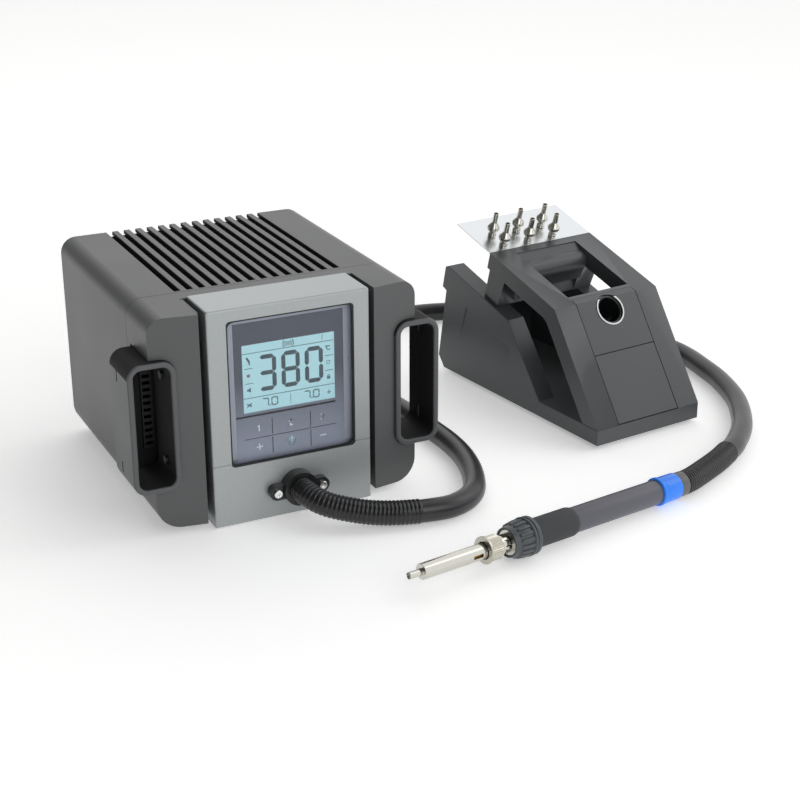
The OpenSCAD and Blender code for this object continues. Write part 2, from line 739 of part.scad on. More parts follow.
// A tube of radius r whose rings stand square to the line; ring tops stay upright
module swept_tube(line, r, sides) {
  last = len(line) - 1;
  rings = [for (i = [0 : last])
    let(ahead = unit(line[min(i + 1, last)] - line[max(i - 1, 0)]),
      side = unit(cross(ahead, [0, 0, 1])), up = cross(side, ahead))
    for (k = [0 : sides - 1]) line[i] + r*(cos(k*360/sides)*side + sin(k*360/sides)*up)];
  walls = [for (i = [0 : last - 1], k = [0 : sides - 1])
    let(a = i*sides + k, b = i*sides + (k + 1)%sides) each [[a, b, b + sides], [a, b + sides, a + sides]]];
  ends = [[for (k = [sides - 1 : -1 : 0]) k], [for (k = [0 : sides - 1]) last*sides + k]];
  polyhedron(concat(rings), concat(walls, ends));
}

module hose() color("#3a3a3d") swept_tube(stretch(0, len(route) - 1, hose_cuts), hose_r, hose_sides);

module sleeve_at_unit() color("#1c1c1e")
  swept_tube(stretch(0, unit_sleeve_end, sleeve_cuts), sleeve_r, hose_sides);

module sleeve_at_tool() color("#2a2a2c")
  swept_tube(stretch(tool_sleeve_start, len(route) - 1, sleeve_cuts), sleeve_r, hose_sides);

module hose_socket() color("#1a1b1d") at_unit() translate([outlet_x, 0, outlet_z]) difference() {
  union() {
    rod_y(-outlet_flange - 3, 0, outlet_r);
    for (side = [-1, 1]) translate([side*outlet_screws/2, 0, ear_z]) rod_y(-outlet_flange, 0, ear_r);
    translate([-outlet_screws/2, -outlet_flange, ear_z - ear_r])
      cube([outlet_screws, outlet_flange, 2*ear_r]);
    rod_y(-1, panel_t + gap, duct_r + duct_t - gap);
  }
  rod_y(-20, body_d, duct_r - 1);
  for (side = [-1, 1]) translate([side*outlet_screws/2, 0, ear_z]) rod_y(-10, 5, screw_r + gap/3);
}

module socket_screws() color("#d5d7d8") at_unit()
  for (side = [-1, 1]) translate([outlet_x + side*outlet_screws/2, -outlet_flange - head_h, outlet_z + ear_z])
    screw_y(outlet_flange + bite);

// ---- hand tool -----------------------------------------------------------------------------

module tool_neck() color("#3f4042") at_tool() difference() {
  rod_x(ring_start + ring_l, neck_end, tube_r);
  rod_x(ring_start, neck_end + 1, tube_r - 3);
}

module blue_ring() color("#0b63e0") at_tool() difference() {
  union() {
    rod_x(ring_start, ring_start + 4, ring_r);
    rod_x(ring_start + 4, ring_start + ring_l, ring_r - 0.6);
  }
  rod_x(ring_start - 1, ring_start + ring_l + 1, tube_r - 3);
}

module tool_tube() color("#64646e") at_tool() difference() {
  union() {
    rod_x(grip_end, ring_start, tube_r);
    rod_x(flange_l, grip_end, tube_r - gap);
  }
  rod_x(flange_l - 1, ring_start + 1, tube_r - 2);
}

module soft_grip() color("#3c3f42") at_tool() difference() {
  union() {
    rod_x(flange_l, grip_end - 3, grip_r);
    rod_x(grip_end - 3, grip_end, grip_r, tube_r + 0.4);
  }
  rod_x(flange_l - 1, grip_end + 1, tube_r - gap);
}

module tool_collar() color("#33363a") at_tool() difference() {
  union() {
    rod_x(-collar_l, -collar_l/2, flange_r - 3.2, flange_r - 1.6);
    rod_x(-collar_l/2, 0, flange_r - 1.6);
    rod_x(0, flange_l, flange_r);
    for (i = [0 : collar_ribs - 1]) rotate([i*360/collar_ribs, 0, 0])
      translate([-collar_l*0.7, -0.9, flange_r - 2.2]) cube([collar_l*0.7, 1.8, 1.2]);
  }
  rod_x(-collar_l - 1, -3, flange_r - 5);
  rod_x(-4, flange_l + 1, barrel_r + 1);
}

module nozzle_bracket() color("#c3c6c7") at_tool() difference() {
  union() {
    rod_x(plate_back - plate_t, plate_back, flange_r - 5);
    rod_x(nut_back + gap, -3, bracket_r);
  }
  rod_x(nut_back - 1, 0, bracket_r - 1);
  // windows between its legs, from the nut to the plate
  for (turn = [0, 60, 120]) rotate([turn, 0, 0])
    translate([nut_back + bracket_rim, -window_w/2, -bracket_r - 1])
      cube([plate_back - plate_t - nut_back - 2*bracket_rim, window_w, 2*bracket_r + 2]);
}

module nozzle_nut() color("#d3d5d2") at_tool() difference() {
  union() {
    rod_x(nut_front - rim_t, nut_front, nut_r + 0.9);
    rod_x(nut_front, nut_back, nut_r);
  }
  rod_x(nut_front - rim_t - 1, nut_back + 1, barrel_r + run_gap);
}

module nozzle_barrel() color("#dfe0de") at_tool() difference() {
  union() {
    rod_x(barrel_front, nut_back + 16, barrel_r);
    rod_x(barrel_front - tip_l, barrel_front + 1, tip_r);
  }
  rod_x(barrel_front + 1.2, nut_back + 17, barrel_r - barrel_wall);
  rod_x(barrel_front - tip_l - 1, barrel_front + 2, tip_r - 0.5);
  // slots that let the heat show
  for (side = [-1, 1]) translate([nut_front - rim_t - 12, side*barrel_r - 1.5, -1.3]) cube([8, 3, 2.6]);
}

module heater_core() color("#c9a24a") at_tool()
  rod_x(barrel_front + 8, nut_back + 15, barrel_r - barrel_wall - 1.2);

// ---- holder --------------------------------------------------------------------------------

// Places a child on the front slope: x across, y up the slope from the lip, z out of the face
module on_front() translate([0, 0, lip_h]) rotate([front_slope, 0, 0]) children();
// Places a child on the top slope: x across, y back from the crown, z out of the face
module on_top() translate([0, crown[0], crown[1]]) rotate([top_slope, 0, 0]) children();

// A point on the front slope's line, so far up from the lip and so deep behind the face
function on_slope(up, deep = 0) = [0, lip_h] + up*[cos(front_slope), sin(front_slope)]
  + deep*[sin(front_slope), -cos(front_slope)];
// A point behind the brow at the same depth, but on the top slope
function behind_brow(deep) = brow + deep/sin(front_slope - top_slope)*[cos(top_slope), sin(top_slope)];

module cheek_crease() translate([0, crease_start[0], crease_start[1]]) rotate([top_slope, 0, 0])
  rotate([-90, 0, 0]) linear_extrude(crease_l)
    polygon([[-1, 0], [crease_deep, 0], [0, crease_fade], [-1, crease_fade]]);

module holder_base() color("#5a5d5e") at_holder() difference() {
  union() {
    translate([0, 0, holder_foot]) cube([holder_w, holder_l, floor_t]);
    for (x = [0, holder_w - cheek_t]) along_x(x, x + cheek_t)
      polygon([[cheek_front, floor_z - 1], cheek_bend, cheek_tip, cheek_tip + [4, -1.5],
        [cheek_tip[0] + 8.4, cheek_h + 4], [cheek_tip[0] + 3, cheek_h + 1.6],
        [holder_rear, holder_foot + 9.6], [holder_l, holder_foot], [holder_l - 6, holder_foot]]);
    // rear wall between the cheeks
    along_x(cheek_t, holder_w - cheek_t) polygon([[cheek_tip[0] - 1, cheek_h], [cheek_tip[0] + 2, cheek_h],
      [holder_rear - 1, holder_foot + 9.6], [holder_l - 1, holder_foot], [holder_l - 9, holder_foot]]);
  }
  // crease of each cheek: a step that runs along the top edge and fades out downwards
  cheek_crease();
  translate([holder_w, 0, 0]) mirror([1, 0, 0]) cheek_crease();
  // pocket under the floor for the steel weight
  translate([weight_x, weight_y, holder_foot - 1]) cube([holder_w - 2*weight_x, weight_l, weight_t + 2]);
}

module holder_frame() color("#606364") at_holder() difference() {
  along_x(0, holder_w) polygon([[0, floor_z + gap], [0, lip_h], brow, crown,
    leg_rear + [0, gap], leg_front + [0, gap], bar_under - [leg_l, leg_l*tan(top_slope)], bar_start,
    window_corner, [window_start[0] + 0.3, floor_z + gap]]);
  // bed for the front inserts
  along_x(post_w, holder_w - post_w)
    polygon([on_slope(-2, -2), on_slope(front_l + 3, -2), behind_brow(insert_t + gap),
      on_slope(0, insert_t + gap), on_slope(-2, insert_t + gap)]);
  // open top and the bay behind the bed
  along_x(post_w, holder_w - post_w)
    polygon([on_slope(-12, insert_t + insert_back), behind_brow(insert_t + insert_back),
      brow + [10, 30], crown + [-bar_set, 30], [crown[0] - bar_set, cheek_h],
      [crown[0] - bar_set - 20, floor_z - 2]]);
  at_socket() translate([0, 0, -liner_l]) cylinder(h = liner_l + 2, r = socket_r);
  // legs stand back from the sides
  for (x = [-1, holder_w - leg_in]) along_x(x, x + leg_in + 1)
    polygon([bar_under - leg_cut*[1, tan(top_slope)], bar_under + leg_cut*[1, tan(top_slope)],
      [bar_under[0] + leg_cut, floor_z], [bar_under[0] - leg_cut, floor_z]]);
}

// A flat slab in the bed of the front slope, between the posts
module front_insert(corners) along_x(post_w + insert_gap, holder_w - post_w - insert_gap) polygon(corners);

module insert_lower() color("#55585a") at_holder()
  front_insert([on_slope(insert_gap), on_slope(insert_seam - insert_gap),
    on_slope(insert_seam - insert_gap, insert_t), on_slope(insert_foot, insert_t)]);

module at_socket() on_front() translate([holder_w/2, socket_at, 0]) children();

module insert_upper() color("#585b5d") at_holder() difference() {
  front_insert([on_slope(insert_seam), brow, behind_brow(insert_t), on_slope(insert_seam, insert_t)]);
  at_socket() translate([0, 0, -2*insert_t]) cylinder(h = 4*insert_t, r = socket_r);
}

module socket_ring() color("#cfd2d3") at_holder() at_socket() intersection() {
  translate([0, 0, -insert_t]) difference() {
    cylinder(h = insert_t + 0.6, r = socket_r);
    translate([0, 0, -1]) cylinder(h = insert_t + 3, r = socket_r - socket_ring_t);
  }
  translate([-socket_r, -socket_r, -insert_t]) cube([2*socket_r, socket_r + socket_drop - 0.5, 2*insert_t]);
}

module socket_liner() color("#1f2123") at_holder() at_socket() difference() {
  translate([0, 0, -liner_l]) cylinder(h = liner_l - 1, r = socket_r - socket_ring_t);
  translate([0, 0, -liner_l - 1]) cylinder(h = liner_l + 2, r = liner_r);
}

// Cross piece between the legs, with a round nose towards the socket
module rear_crossbar() color("#4b4e50") at_holder() along_x(post_w + gap, holder_w - post_w - gap) {
  polygon([crown + [-bar_set - gap, -bar_set*tan(top_slope) - 1], crown + [-bar_set - gap, -crossbar_h],
    crown + [-bar_set - crossbar_nose, -crossbar_h], crown + [-bar_set - 2*crossbar_nose, -crossbar_h/2],
    crown + [-bar_set - crossbar_nose, -8]]);
  translate(crown + [-bar_set - crossbar_nose, -crossbar_h/2]) circle(crossbar_nose);
}

module base_weight() color("#777b7e") at_holder()
  translate([weight_x + gap, weight_y + gap, holder_foot + 1])
    cube([holder_w - 2*(weight_x + gap), weight_l - 2*gap, weight_t]);

module nozzle_tray() color("#d9dcdd") at_holder() on_top() {
  translate([0, gap, -tray_t]) cube([holder_w, tray_l, tray_t]);
  for (i = [0 : 5]) peg_place(i) translate([0, 0, -tray_t/2]) cylinder(h = peg_h + tray_t/2, r = peg_r);
  // turned-down lip that the screws hold against the cross piece
  translate([post_w + 4, gap, -tray_lip]) cube([holder_w - 2*post_w - 8, tray_t, tray_lip - tray_t/2]);
}

module peg_place(i) translate([peg_x + (i%3)*column_pitch, peg_y + floor(i/3)*row_pitch, 0]) children();

// A turned nozzle: a waisted foot, a round bulge and a slim outlet
module spare_nozzle(i) color("#c9cccb") at_holder() on_top() peg_place(i) rotate_extrude()
  polygon([[peg_r + run_gap*2, 0.1], [3.4, 0.1], [3.4, 3], [3, 4.5], [nozzle_r, nozzle_h*0.34],
    [nozzle_r, nozzle_h*0.42], [2.1, nozzle_h*0.62], [2.1, nozzle_h], [1.5, nozzle_h],
    [1.5, nozzle_h*0.5], [peg_r + run_gap*2, peg_h + 1]]);

module spare_nozzle_1() spare_nozzle(0);
module spare_nozzle_2() spare_nozzle(1);
module spare_nozzle_3() spare_nozzle(2);
module spare_nozzle_4() spare_nozzle(3);
module spare_nozzle_5() spare_nozzle(4);
module spare_nozzle_6() spare_nozzle(5);

module holder_feet() color("#17181a") at_holder()
  for (x = [14, holder_w - 14], y = [12, holder_l - 18]) translate([x, y, 0])
    cylinder(h = holder_foot, r = holder_foot_r);

// ---- what is drawn -------------------------------------------------------------------------

rear_cover();
front_frame();
handle_left();
handle_right();
panel_upper();
panel_lower();
gap_trim();
display_window();
display_mask();
lcd_module();
touch_key_pad();
display_board();
base_pan();
rear_panel();
main_board();
heat_sink();
transformer();
blower_housing();
blower_cover();
blower_motor();
blower_impeller();
motor_shaft();
air_duct();
hose_socket();
socket_screws();
mains_inlet();
fuse_drawer();
rocker_frame();
power_rocker();
vent_grilles();
unit_feet();
handle_screws();
hose();
sleeve_at_unit();
sleeve_at_tool();
tool_neck();
blue_ring();
tool_tube();
soft_grip();
tool_collar();
nozzle_bracket();
nozzle_nut();
nozzle_barrel();
heater_core();
holder_base();
holder_frame();
insert_upper();
insert_lower();
socket_ring();
socket_liner();
rear_crossbar();
base_weight();
nozzle_tray();
spare_nozzle_1();
spare_nozzle_2();
spare_nozzle_3();
spare_nozzle_4();
spare_nozzle_5();
spare_nozzle_6();
holder_feet();
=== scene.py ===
"""A hot-air soldering station: a blower unit with two grab handles and a touch display, an air hose,
a hand tool on the bench, and a sloped holder with a tray of spare nozzles."""

import math

import bmesh
import bpy
import numpy as np
from mathutils import Matrix, Vector


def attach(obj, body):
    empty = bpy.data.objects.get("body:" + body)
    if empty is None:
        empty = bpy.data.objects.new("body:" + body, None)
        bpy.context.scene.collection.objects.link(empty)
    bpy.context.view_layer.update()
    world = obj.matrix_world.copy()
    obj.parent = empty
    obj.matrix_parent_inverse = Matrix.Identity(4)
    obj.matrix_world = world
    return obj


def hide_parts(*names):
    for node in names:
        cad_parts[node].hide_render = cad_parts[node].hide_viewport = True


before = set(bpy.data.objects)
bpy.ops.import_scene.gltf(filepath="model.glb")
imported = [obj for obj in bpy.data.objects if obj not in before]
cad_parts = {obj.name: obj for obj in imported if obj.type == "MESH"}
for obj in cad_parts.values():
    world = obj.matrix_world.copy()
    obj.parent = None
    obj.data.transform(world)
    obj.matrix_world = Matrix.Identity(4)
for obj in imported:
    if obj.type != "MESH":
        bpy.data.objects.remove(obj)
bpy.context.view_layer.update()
mm = 0.001

# ---- Camera, table and light ----------------------------------------------------------------
# The set stands on a pale table in a white studio. Two soft boxes hang in front, a third stands
# behind, and the room all round gives the dark plastic its long soft gradients.

scene = bpy.context.scene
scene.view_settings.view_transform = "Standard"
camera = bpy.data.objects.new("camera", bpy.data.cameras.new("camera"))
scene.collection.objects.link(camera)
scene.camera = camera
camera.data.lens = 73.96
camera.data.sensor_width = 36
camera.data.clip_start = 0.05
camera.data.clip_end = 100
camera.location = (-0.51275, -1.01426, 0.51352)
ahead = Vector((0.40543, 0.83293, -0.37663))
camera_roll = math.radians(-0.17)
camera.rotation_mode = "QUATERNION"
camera.rotation_quaternion = ahead.to_track_quat("-Z", "Y") @ Matrix.Rotation(camera_roll, 3,
    "Z").to_quaternion()


def linear(colour):
    """An sRGB hex colour as linear red, green, blue and alpha: a part c is ((c + 0.055)/1.055)^2.4,
    or c/12.92 where it is below 0.04045."""
    parts = np.array([int(colour[i:i + 2], 16) for i in (1, 3, 5)]) / 255
    parts = np.where(parts < 0.04045, parts / 12.92, ((parts + 0.055) / 1.055) ** 2.4)
    return (*parts.tolist(), 1.0)


def add(tree, kind, inputs=(), **settings):
    """One shader node of that kind, with its settings. inputs gives, for a socket's name or number,
    its value or the socket that feeds it."""
    made = tree.nodes.new("ShaderNode" + kind)
    for key, value in settings.items():
        setattr(made, key, value)
    for key, value in dict(inputs).items():
        if isinstance(value, bpy.types.NodeSocket):
            tree.links.new(value, made.inputs[key])
        else:
            made.inputs[key].default_value = value
    return made


def material(name, build):
    """A material of that name, whose surface is the shader socket that build(tree) returns."""
    made = bpy.data.materials.new(name)
    made.use_nodes = True
    made.node_tree.nodes.clear()
    out = add(made.node_tree, "OutputMaterial")
    made.node_tree.links.new(build(made.node_tree), out.inputs[0])
    return made


def two_tones(tree, fac, colour, spread):
    """A colour socket that runs from the colour darkened by spread to the same lightened by it."""
    ramp = add(tree, "ValToRGB", {0: fac})
    base = linear(colour)
    for stop, share in zip(ramp.color_ramp.elements, (1 - spread, 1 + spread)):
        stop.color = [min(1, part * share) for part in base[:3]] + [1]
    return ramp.outputs[0]


def soft_box(name, place, size, power):
    """A square lamp of that size in metres, which faces the middle of the set."""
    lamp = bpy.data.objects.new(name, bpy.data.lights.new(name, "AREA"))
    scene.collection.objects.link(lamp)
    lamp.data.size = size
    lamp.data.energy = power
    lamp.location = place
    lamp.rotation_mode = "QUATERNION"
    lamp.rotation_quaternion = (Vector(place) - Vector((0, 0, 0.05))).to_track_quat("Z", "Y")


def toward(tree, way, near, far, at_near, at_far):
    """A number for each direction: how far it points the given way, from near to far, remapped."""
    direction = add(tree, "TexCoord").outputs["Generated"]
    along = add(tree, "VectorMath", {0: direction, 1: way}, operation="DOT_PRODUCT").outputs["Value"]
    return add(tree, "MapRange", {0: along, 1: near, 2: far, 3: at_near, 4: at_far}).outputs[0]


soft_box("high_front", (0.1, -1.6, 1.1), 1.1, 7)
soft_box("high_right", (1.5, -0.3, 1.3), 1.0, 3)
soft_box("behind", (0.1, 1.6, 1.4), 1.2, 2)
# A dark cloth hangs over the front, so that polished metal has something dark to mirror, and the
# room's left wall is a little dimmer than the others.
room = bpy.data.worlds.new("room")
room.use_nodes = True
room.node_tree.nodes.clear()
under_cloth = toward(room.node_tree, (-0.15, -0.5, 0.85), 0.75, 0.93, 1.12, 0.15)
off_left_wall = toward(room.node_tree, (1, 0, 0), -0.6, 0.3, 0.12, 1.0)
strength = add(room.node_tree, "Math", {0: under_cloth, 1: off_left_wall}, operation="MULTIPLY").outputs[0]
white = add(room.node_tree, "Background", {"Color": linear("#ffffff"), "Strength": strength}).outputs[0]
add(room.node_tree, "OutputWorld", {0: white})
scene.world = room


def table_top(tree):
    return add(tree, "BsdfPrincipled", {"Base Color": linear("#f7f7f6"), "Roughness": 0.7,
                                        "Emission Color": linear("#ffffff"),
                                        "Emission Strength": 0.35}).outputs[0]


reach = 30.0
table = bpy.data.meshes.new("table")
table.from_pydata([(-reach, -reach, 0), (reach, -reach, 0), (reach, reach, 0), (-reach, reach, 0)], [],
                  [(0, 1, 2, 3)])
table.materials.append(material("pale_table_top", table_top))
table = bpy.data.objects.new("table", table)
table.location.z = -0.3 * mm
scene.collection.objects.link(table)

# ---- Hose -----------------------------------------------------------------------------------
# An extruded silicone-rubber air hose, 16.6 mm across, with the heater's wires inside. A corrugated
# sleeve is pushed over each end against kinks, and both slip into the socket and the tool's neck.

route = np.array([
    [-118, -46, 22], [-117, -54.5, 21.5], [-112, -64.5, 19], [-102, -72.5, 16], [-84, -81, 12.2],
    [-66, -86.1, 9.9], [-47.5, -90.3, 9.1], [-22, -91.5, 8.6], [0, -79, 8.5], [15, -52, 8.5],
    [24, -21, 8.5], [27, 7, 8.5], [26.5, 33.5, 8.5], [25, 63.5, 8.5], [22, 95.5, 8.5],
    [17, 131.5, 8.5], [13, 168.5, 8.5], [16, 205.5, 8.5], [30, 241.5, 8.5], [56, 268.5, 8.5],
    [88, 284.5, 8.5], [120, 289.5, 8.5], [152, 286.5, 8.5], [186, 273.5, 8.5], [220, 250.5, 8.5],
    [250, 218.5, 8.5], [274, 180.5, 8.5], [290, 139.5, 8.5], [298, 103.5, 8.5], [299, 79.5, 8.5],
    [296, 54.5, 8.5], [290, 21, 8.5], [275, -21.5, 8.5], [249, -63, 8.5], [222, -90.7, 8.7],
    [205.5, -102.3, 9], [190, -112, 9.1], [170, -122.5, 9.3], [152, -131.3, 9.6],
    [142, -134.5, 9.8]]) * mm
hose_radius = 8.3 * mm
sleeve_radius = 8.9 * mm


def smooth_line(points, cuts):
    """Points on a cubic through the given ones. Between two of them, b and c, with neighbours a and
    d, a point at share t is (2b + (c-a)t + (2a-5b+4c-d)t^2 + (3b-a-3c+d)t^3)/2."""
    a, b = np.vstack([points[:1], points[:-2]]), points[:-1]
    c, d = points[1:], np.vstack([points[2:], points[-1:]])
    t = np.arange(cuts)[None, :, None] / cuts
    a, b, c, d = (side[:, None] for side in (a, b, c, d))
    run = 0.5 * (2 * b + (c - a) * t + (2 * a - 5 * b + 4 * c - d) * t ** 2
                 + (3 * b - a - 3 * c + d) * t ** 3)
    return np.vstack([run.reshape(-1, 3), points[-1:]])


def evenly(line, spacing):
    """The same line with points about that far apart, and how far along it each one is."""
    along = np.r_[0, np.cumsum(np.linalg.norm(np.diff(line, axis=0), axis=1))]
    places = np.linspace(0, along[-1], max(2, round(along[-1] / spacing) + 1))
    return np.stack([np.interp(places, along, line[:, i]) for i in range(3)], 1), places


def grid_faces(rows, columns, ring=True, loop=False):
    """Quads between neighbours in a grid of points that is stored row by row. A ring joins each
    row's end to its start, and a loop joins the last row to the first."""
    r = np.arange(rows if loop else rows - 1)[:, None]
    c = np.arange(columns if ring else columns - 1)[None, :]
    r2, c2 = (r + 1) % rows, (c + 1) % columns
    quads = np.stack([r * columns + c, r * columns + c2, r2 * columns + c2, r2 * columns + c], -1)
    return quads.reshape(-1, 4).tolist()


def capped(rows, columns):
    """The faces of such a grid of rings, with one flat face over the first row and the last."""
    last = [(rows - 1) * columns + i for i in range(columns)]
    return [*grid_faces(rows, columns), list(range(columns))[::-1], last]


def tube(line, radii, sides):
    """Points of a tube: round each point of the line stands a circle square to it. Its first axis
    is level and its second is up, and radii gives its radius, one for each point."""
    ahead = np.gradient(line, axis=0)
    ahead /= np.linalg.norm(ahead, axis=1)[:, None]
    side = np.cross(ahead, [0, 0, 1.0])
    side /= np.linalg.norm(side, axis=1)[:, None]
    up = np.cross(side, ahead)
    turn = np.linspace(0, 2 * math.pi, sides, endpoint=False)
    rings = np.cos(turn)[None, :, None] * side[:, None] + np.sin(turn)[None, :, None] * up[:, None]
    return (line[:, None] + np.asarray(radii)[:, None, None] * rings).reshape(-1, 3)


def piece(name, points, faces, made_of, stands_for=(), body="root", smooth=35):
    """A new piece from its points in metres and its faces, with doubled points merged and faces
    turned outwards. smooth is the largest angle, in degrees, between faces that shade as one."""
    data = bpy.data.meshes.new(name)
    data.from_pydata(np.asarray(points).tolist(), [], faces)
    work = bmesh.new()
    work.from_mesh(data)
    bmesh.ops.remove_doubles(work, verts=work.verts, dist=0.001 * mm)
    bmesh.ops.recalc_face_normals(work, faces=work.faces)
    work.to_mesh(data)
    work.free()
    return finished(name, data, made_of, stands_for, body, smooth)


def finished(name, data, made_of, stands_for, body, smooth):
    """Gives a mesh its material and shading, names it, and lets it ride on its body."""
    data.materials.clear()
    data.materials.append(made_of)
    data.shade_smooth()
    data.set_sharp_from_angle(angle=math.radians(smooth))
    made = bpy.data.objects.new(name, data)
    scene.collection.objects.link(made)
    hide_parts(*([stands_for] if isinstance(stands_for, str) else stands_for))
    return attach(made, body)


def rubber(colour, roughness, grit):
    """Silicone rubber: a satin skin with faint cloudy patches and fine pits of that size in mm."""
    def build(tree):
        place = add(tree, "TexCoord").outputs["Object"]
        patches = add(tree, "TexNoise", {"Vector": place, "Scale": 55.0, "Detail": 3.0}).outputs[0]
        pits = add(tree, "TexNoise", {"Vector": place, "Scale": 1000 / grit, "Detail": 2.0}).outputs[0]
        rough = add(tree, "MapRange", {0: patches, 3: roughness - 0.07, 4: roughness + 0.07}).outputs[0]
        bump = add(tree, "Bump", {"Strength": 0.3, "Distance": 0.06 * mm, "Height": pits}).outputs[0]
        return add(tree, "BsdfPrincipled", {"Base Color": two_tones(tree, patches, colour, 0.18),
                                            "Roughness": rough, "Normal": bump}).outputs[0]
    return build


line, along = evenly(smooth_line(route, 12), 3 * mm)
hose = piece("air_hose", tube(line, np.full(len(line), hose_radius), 32), capped(len(line), 32),
             material("extruded_silicone_rubber", rubber("#28282b", 0.31, 0.5)), "hose")


def sleeve(name, points, pitch, depth, made_of, node):
    """A corrugated sleeve: its radius drops by depth between two ribs, as the root of a cosine, so
    that the ribs are round and the grooves between them narrow. Its ends close on the hose."""
    line, along = evenly(smooth_line(points, 12), pitch / 8)
    radii = sleeve_radius - depth * (1 - np.abs(np.cos(math.pi * along / pitch)) ** 0.5)
    radii[[0, -1]] = hose_radius
    return piece(name, tube(line, radii, 40), capped(len(line), 40), made_of, node)


sleeves = [
    sleeve("corrugated_sleeve_at_unit", route[:7], 2.9 * mm, 0.9 * mm,
           material("glossy_sleeve_rubber", rubber("#1c1c1e", 0.27, 0.4)), "sleeve_at_unit"),
    sleeve("corrugated_sleeve_at_tool", route[35:], 2.2 * mm, 0.8 * mm,
           material("satin_sleeve_rubber", rubber("#1e1e20", 0.3, 0.4)), "sleeve_at_tool")]

# ---- Covers of the unit ---------------------------------------------------------------------
# Two moulded ABS shells, a finned one behind and a frame in front, in a dark grey with the fine
# grain of a spark-eroded mould. Their edges are rounded as a mould's are.

unit_at = np.array([-120, -37, 0]) * mm


def moulded(colour, roughness, grain, depth=0.03, spread=0.06):
    """Moulded plastic: a grain of soft pebbles of that size in mm, and a gloss that drifts a little
    from place to place, as it does where the melt met the mould sooner or later."""
    def build(tree):
        place = add(tree, "TexCoord").outputs["Object"]
        drift = add(tree, "TexNoise", {"Vector": place, "Scale": 18.0, "Detail": 2.0}).outputs[0]
        pebbles = add(tree, "TexNoise", {"Vector": place, "Scale": 1000 / grain, "Detail": 3.0}).outputs[0]
        rough = add(tree, "MapRange", {0: drift, 3: roughness - 0.05, 4: roughness + 0.05}).outputs[0]
        bump = add(tree, "Bump", {"Strength": 0.35, "Distance": depth * mm, "Height": pebbles}).outputs[0]
        return add(tree, "BsdfPrincipled", {"Base Color": two_tones(tree, drift, colour, spread),
                                            "Roughness": rough, "Normal": bump}).outputs[0]
    return build


def softened(name, node, made_of, rounds, smooth=35, body="root"):
    """A copy of a CAD node with rounded edges. Its points are merged, and its flat faces made whole
    and shaded flat, since each point takes its normal from the largest faces round it.
    rounds is a list of (radius in mm, test), and a test picks edges by their middle, in metres."""
    work = bmesh.new()
    work.from_mesh(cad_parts[node].data)
    bmesh.ops.remove_doubles(work, verts=work.verts, dist=0.004 * mm)
    bmesh.ops.dissolve_limit(work, angle_limit=math.radians(0.5), verts=work.verts, edges=work.edges)
    bmesh.ops.recalc_face_normals(work, faces=work.faces)
    for radius, test in rounds:
        edges = [e for e in work.edges if e.is_manifold and e.calc_face_angle(0) > math.radians(32)]
        middles = np.array([(e.verts[0].co + e.verts[1].co) / 2 for e in edges]).reshape(-1, 3)
        chosen = [e for e, fits in zip(edges, test(*middles.T)) if fits]
        bmesh.ops.bevel(work, geom=chosen, offset=radius * mm, segments=3, profile=0.5, affect="EDGES",
                        clamp_overlap=True)
    data = bpy.data.meshes.new(name)
    work.to_mesh(data)
    work.free()
    made = finished(name, data, made_of, node, body, smooth)
    made.modifiers.new("flat_faces", "WEIGHTED_NORMAL").keep_sharp = True
    return made


def everywhere(x, y, z):
    return np.full(len(x), True)


case_plastic = material("spark_grained_abs", moulded("#515253", 0.42, 0.5))
cover = softened("finned_cover", "rear_cover", case_plastic, [(0.5, everywhere)])
bezel = softened("front_bezel", "front_frame", case_plastic, [(0.6, everywhere)])


def repaint(made, made_of, test):
    """Gives a second material to the faces of a piece that a test picks, by their middles in metres
    and the directions that they face."""
    faces = made.data.polygons
    middles, facing = np.empty((2, 3 * len(faces)))
    faces.foreach_get("center", middles)
    faces.foreach_get("normal", facing)
    kinds = np.empty(len(faces), int)
    faces.foreach_get("material_index", kinds)
    made.data.materials.append(made_of)
    chosen = test(middles.reshape(-1, 3).T, facing.reshape(-1, 3).T)
    faces.foreach_set("material_index", np.where(chosen, len(made.data.materials) - 1, kinds))


# The grooves' floors and walls get a near-black dull material: painted shade, for the shade that falls deep
# inside the grooves.
painted_shade_black = material("painted_shade_black_abs", moulded("#0c0d0d", 0.75, 0.5))
repaint(cover, painted_shade_black, lambda at, face: (at[2] > 151.5 * mm) & (at[2] < 157.3 * mm)
        & (at[1] > unit_at[1] + 55 * mm) & (abs(at[0] - unit_at[0]) < 64 * mm))
# The wells behind the handles get the same near-black material: painted shade, for the shadow that the
# handles cast into them. The wells behind the handles are painted black, so that the louvres don't
# show from afar.
repaint(bezel, painted_shade_black, lambda at, face: (abs(at[0] - unit_at[0]) > 80 * mm) & (at[2] > 34 * mm)
        & (at[2] < 129.5 * mm) & (at[1] > unit_at[1] + 9 * mm) & (abs(at[0] - unit_at[0]) < 97.8 * mm))

# ---- Back, floor, feet and louvres of the unit ------------------------------------------------
# The back is moulded like the covers. The floor is a galvanised steel sheet screwed up from below,
# on four black rubber feet, and two black louvre inserts snap in behind the handles.

softened("back_wall", "rear_panel", case_plastic, [(0.3, everywhere)])
black_plastic = material("moulded_black_nylon", moulded("#17181a", 0.5, 0.4))
softened("louvre_inserts", "vent_grilles", black_plastic, [(0.25, everywhere)])
foot_rubber = material("moulded_black_rubber", rubber("#1d1e20", 0.6, 0.4))
softened("rubber_feet_of_unit", "unit_feet", foot_rubber, [(1.0, everywhere)])


def carried(nodes, made_of):
    """CAD nodes whose shape is right as it stands get their material."""
    for node in nodes.split():
        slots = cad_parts[node].data.materials
        slots.clear()
        slots.append(made_of)


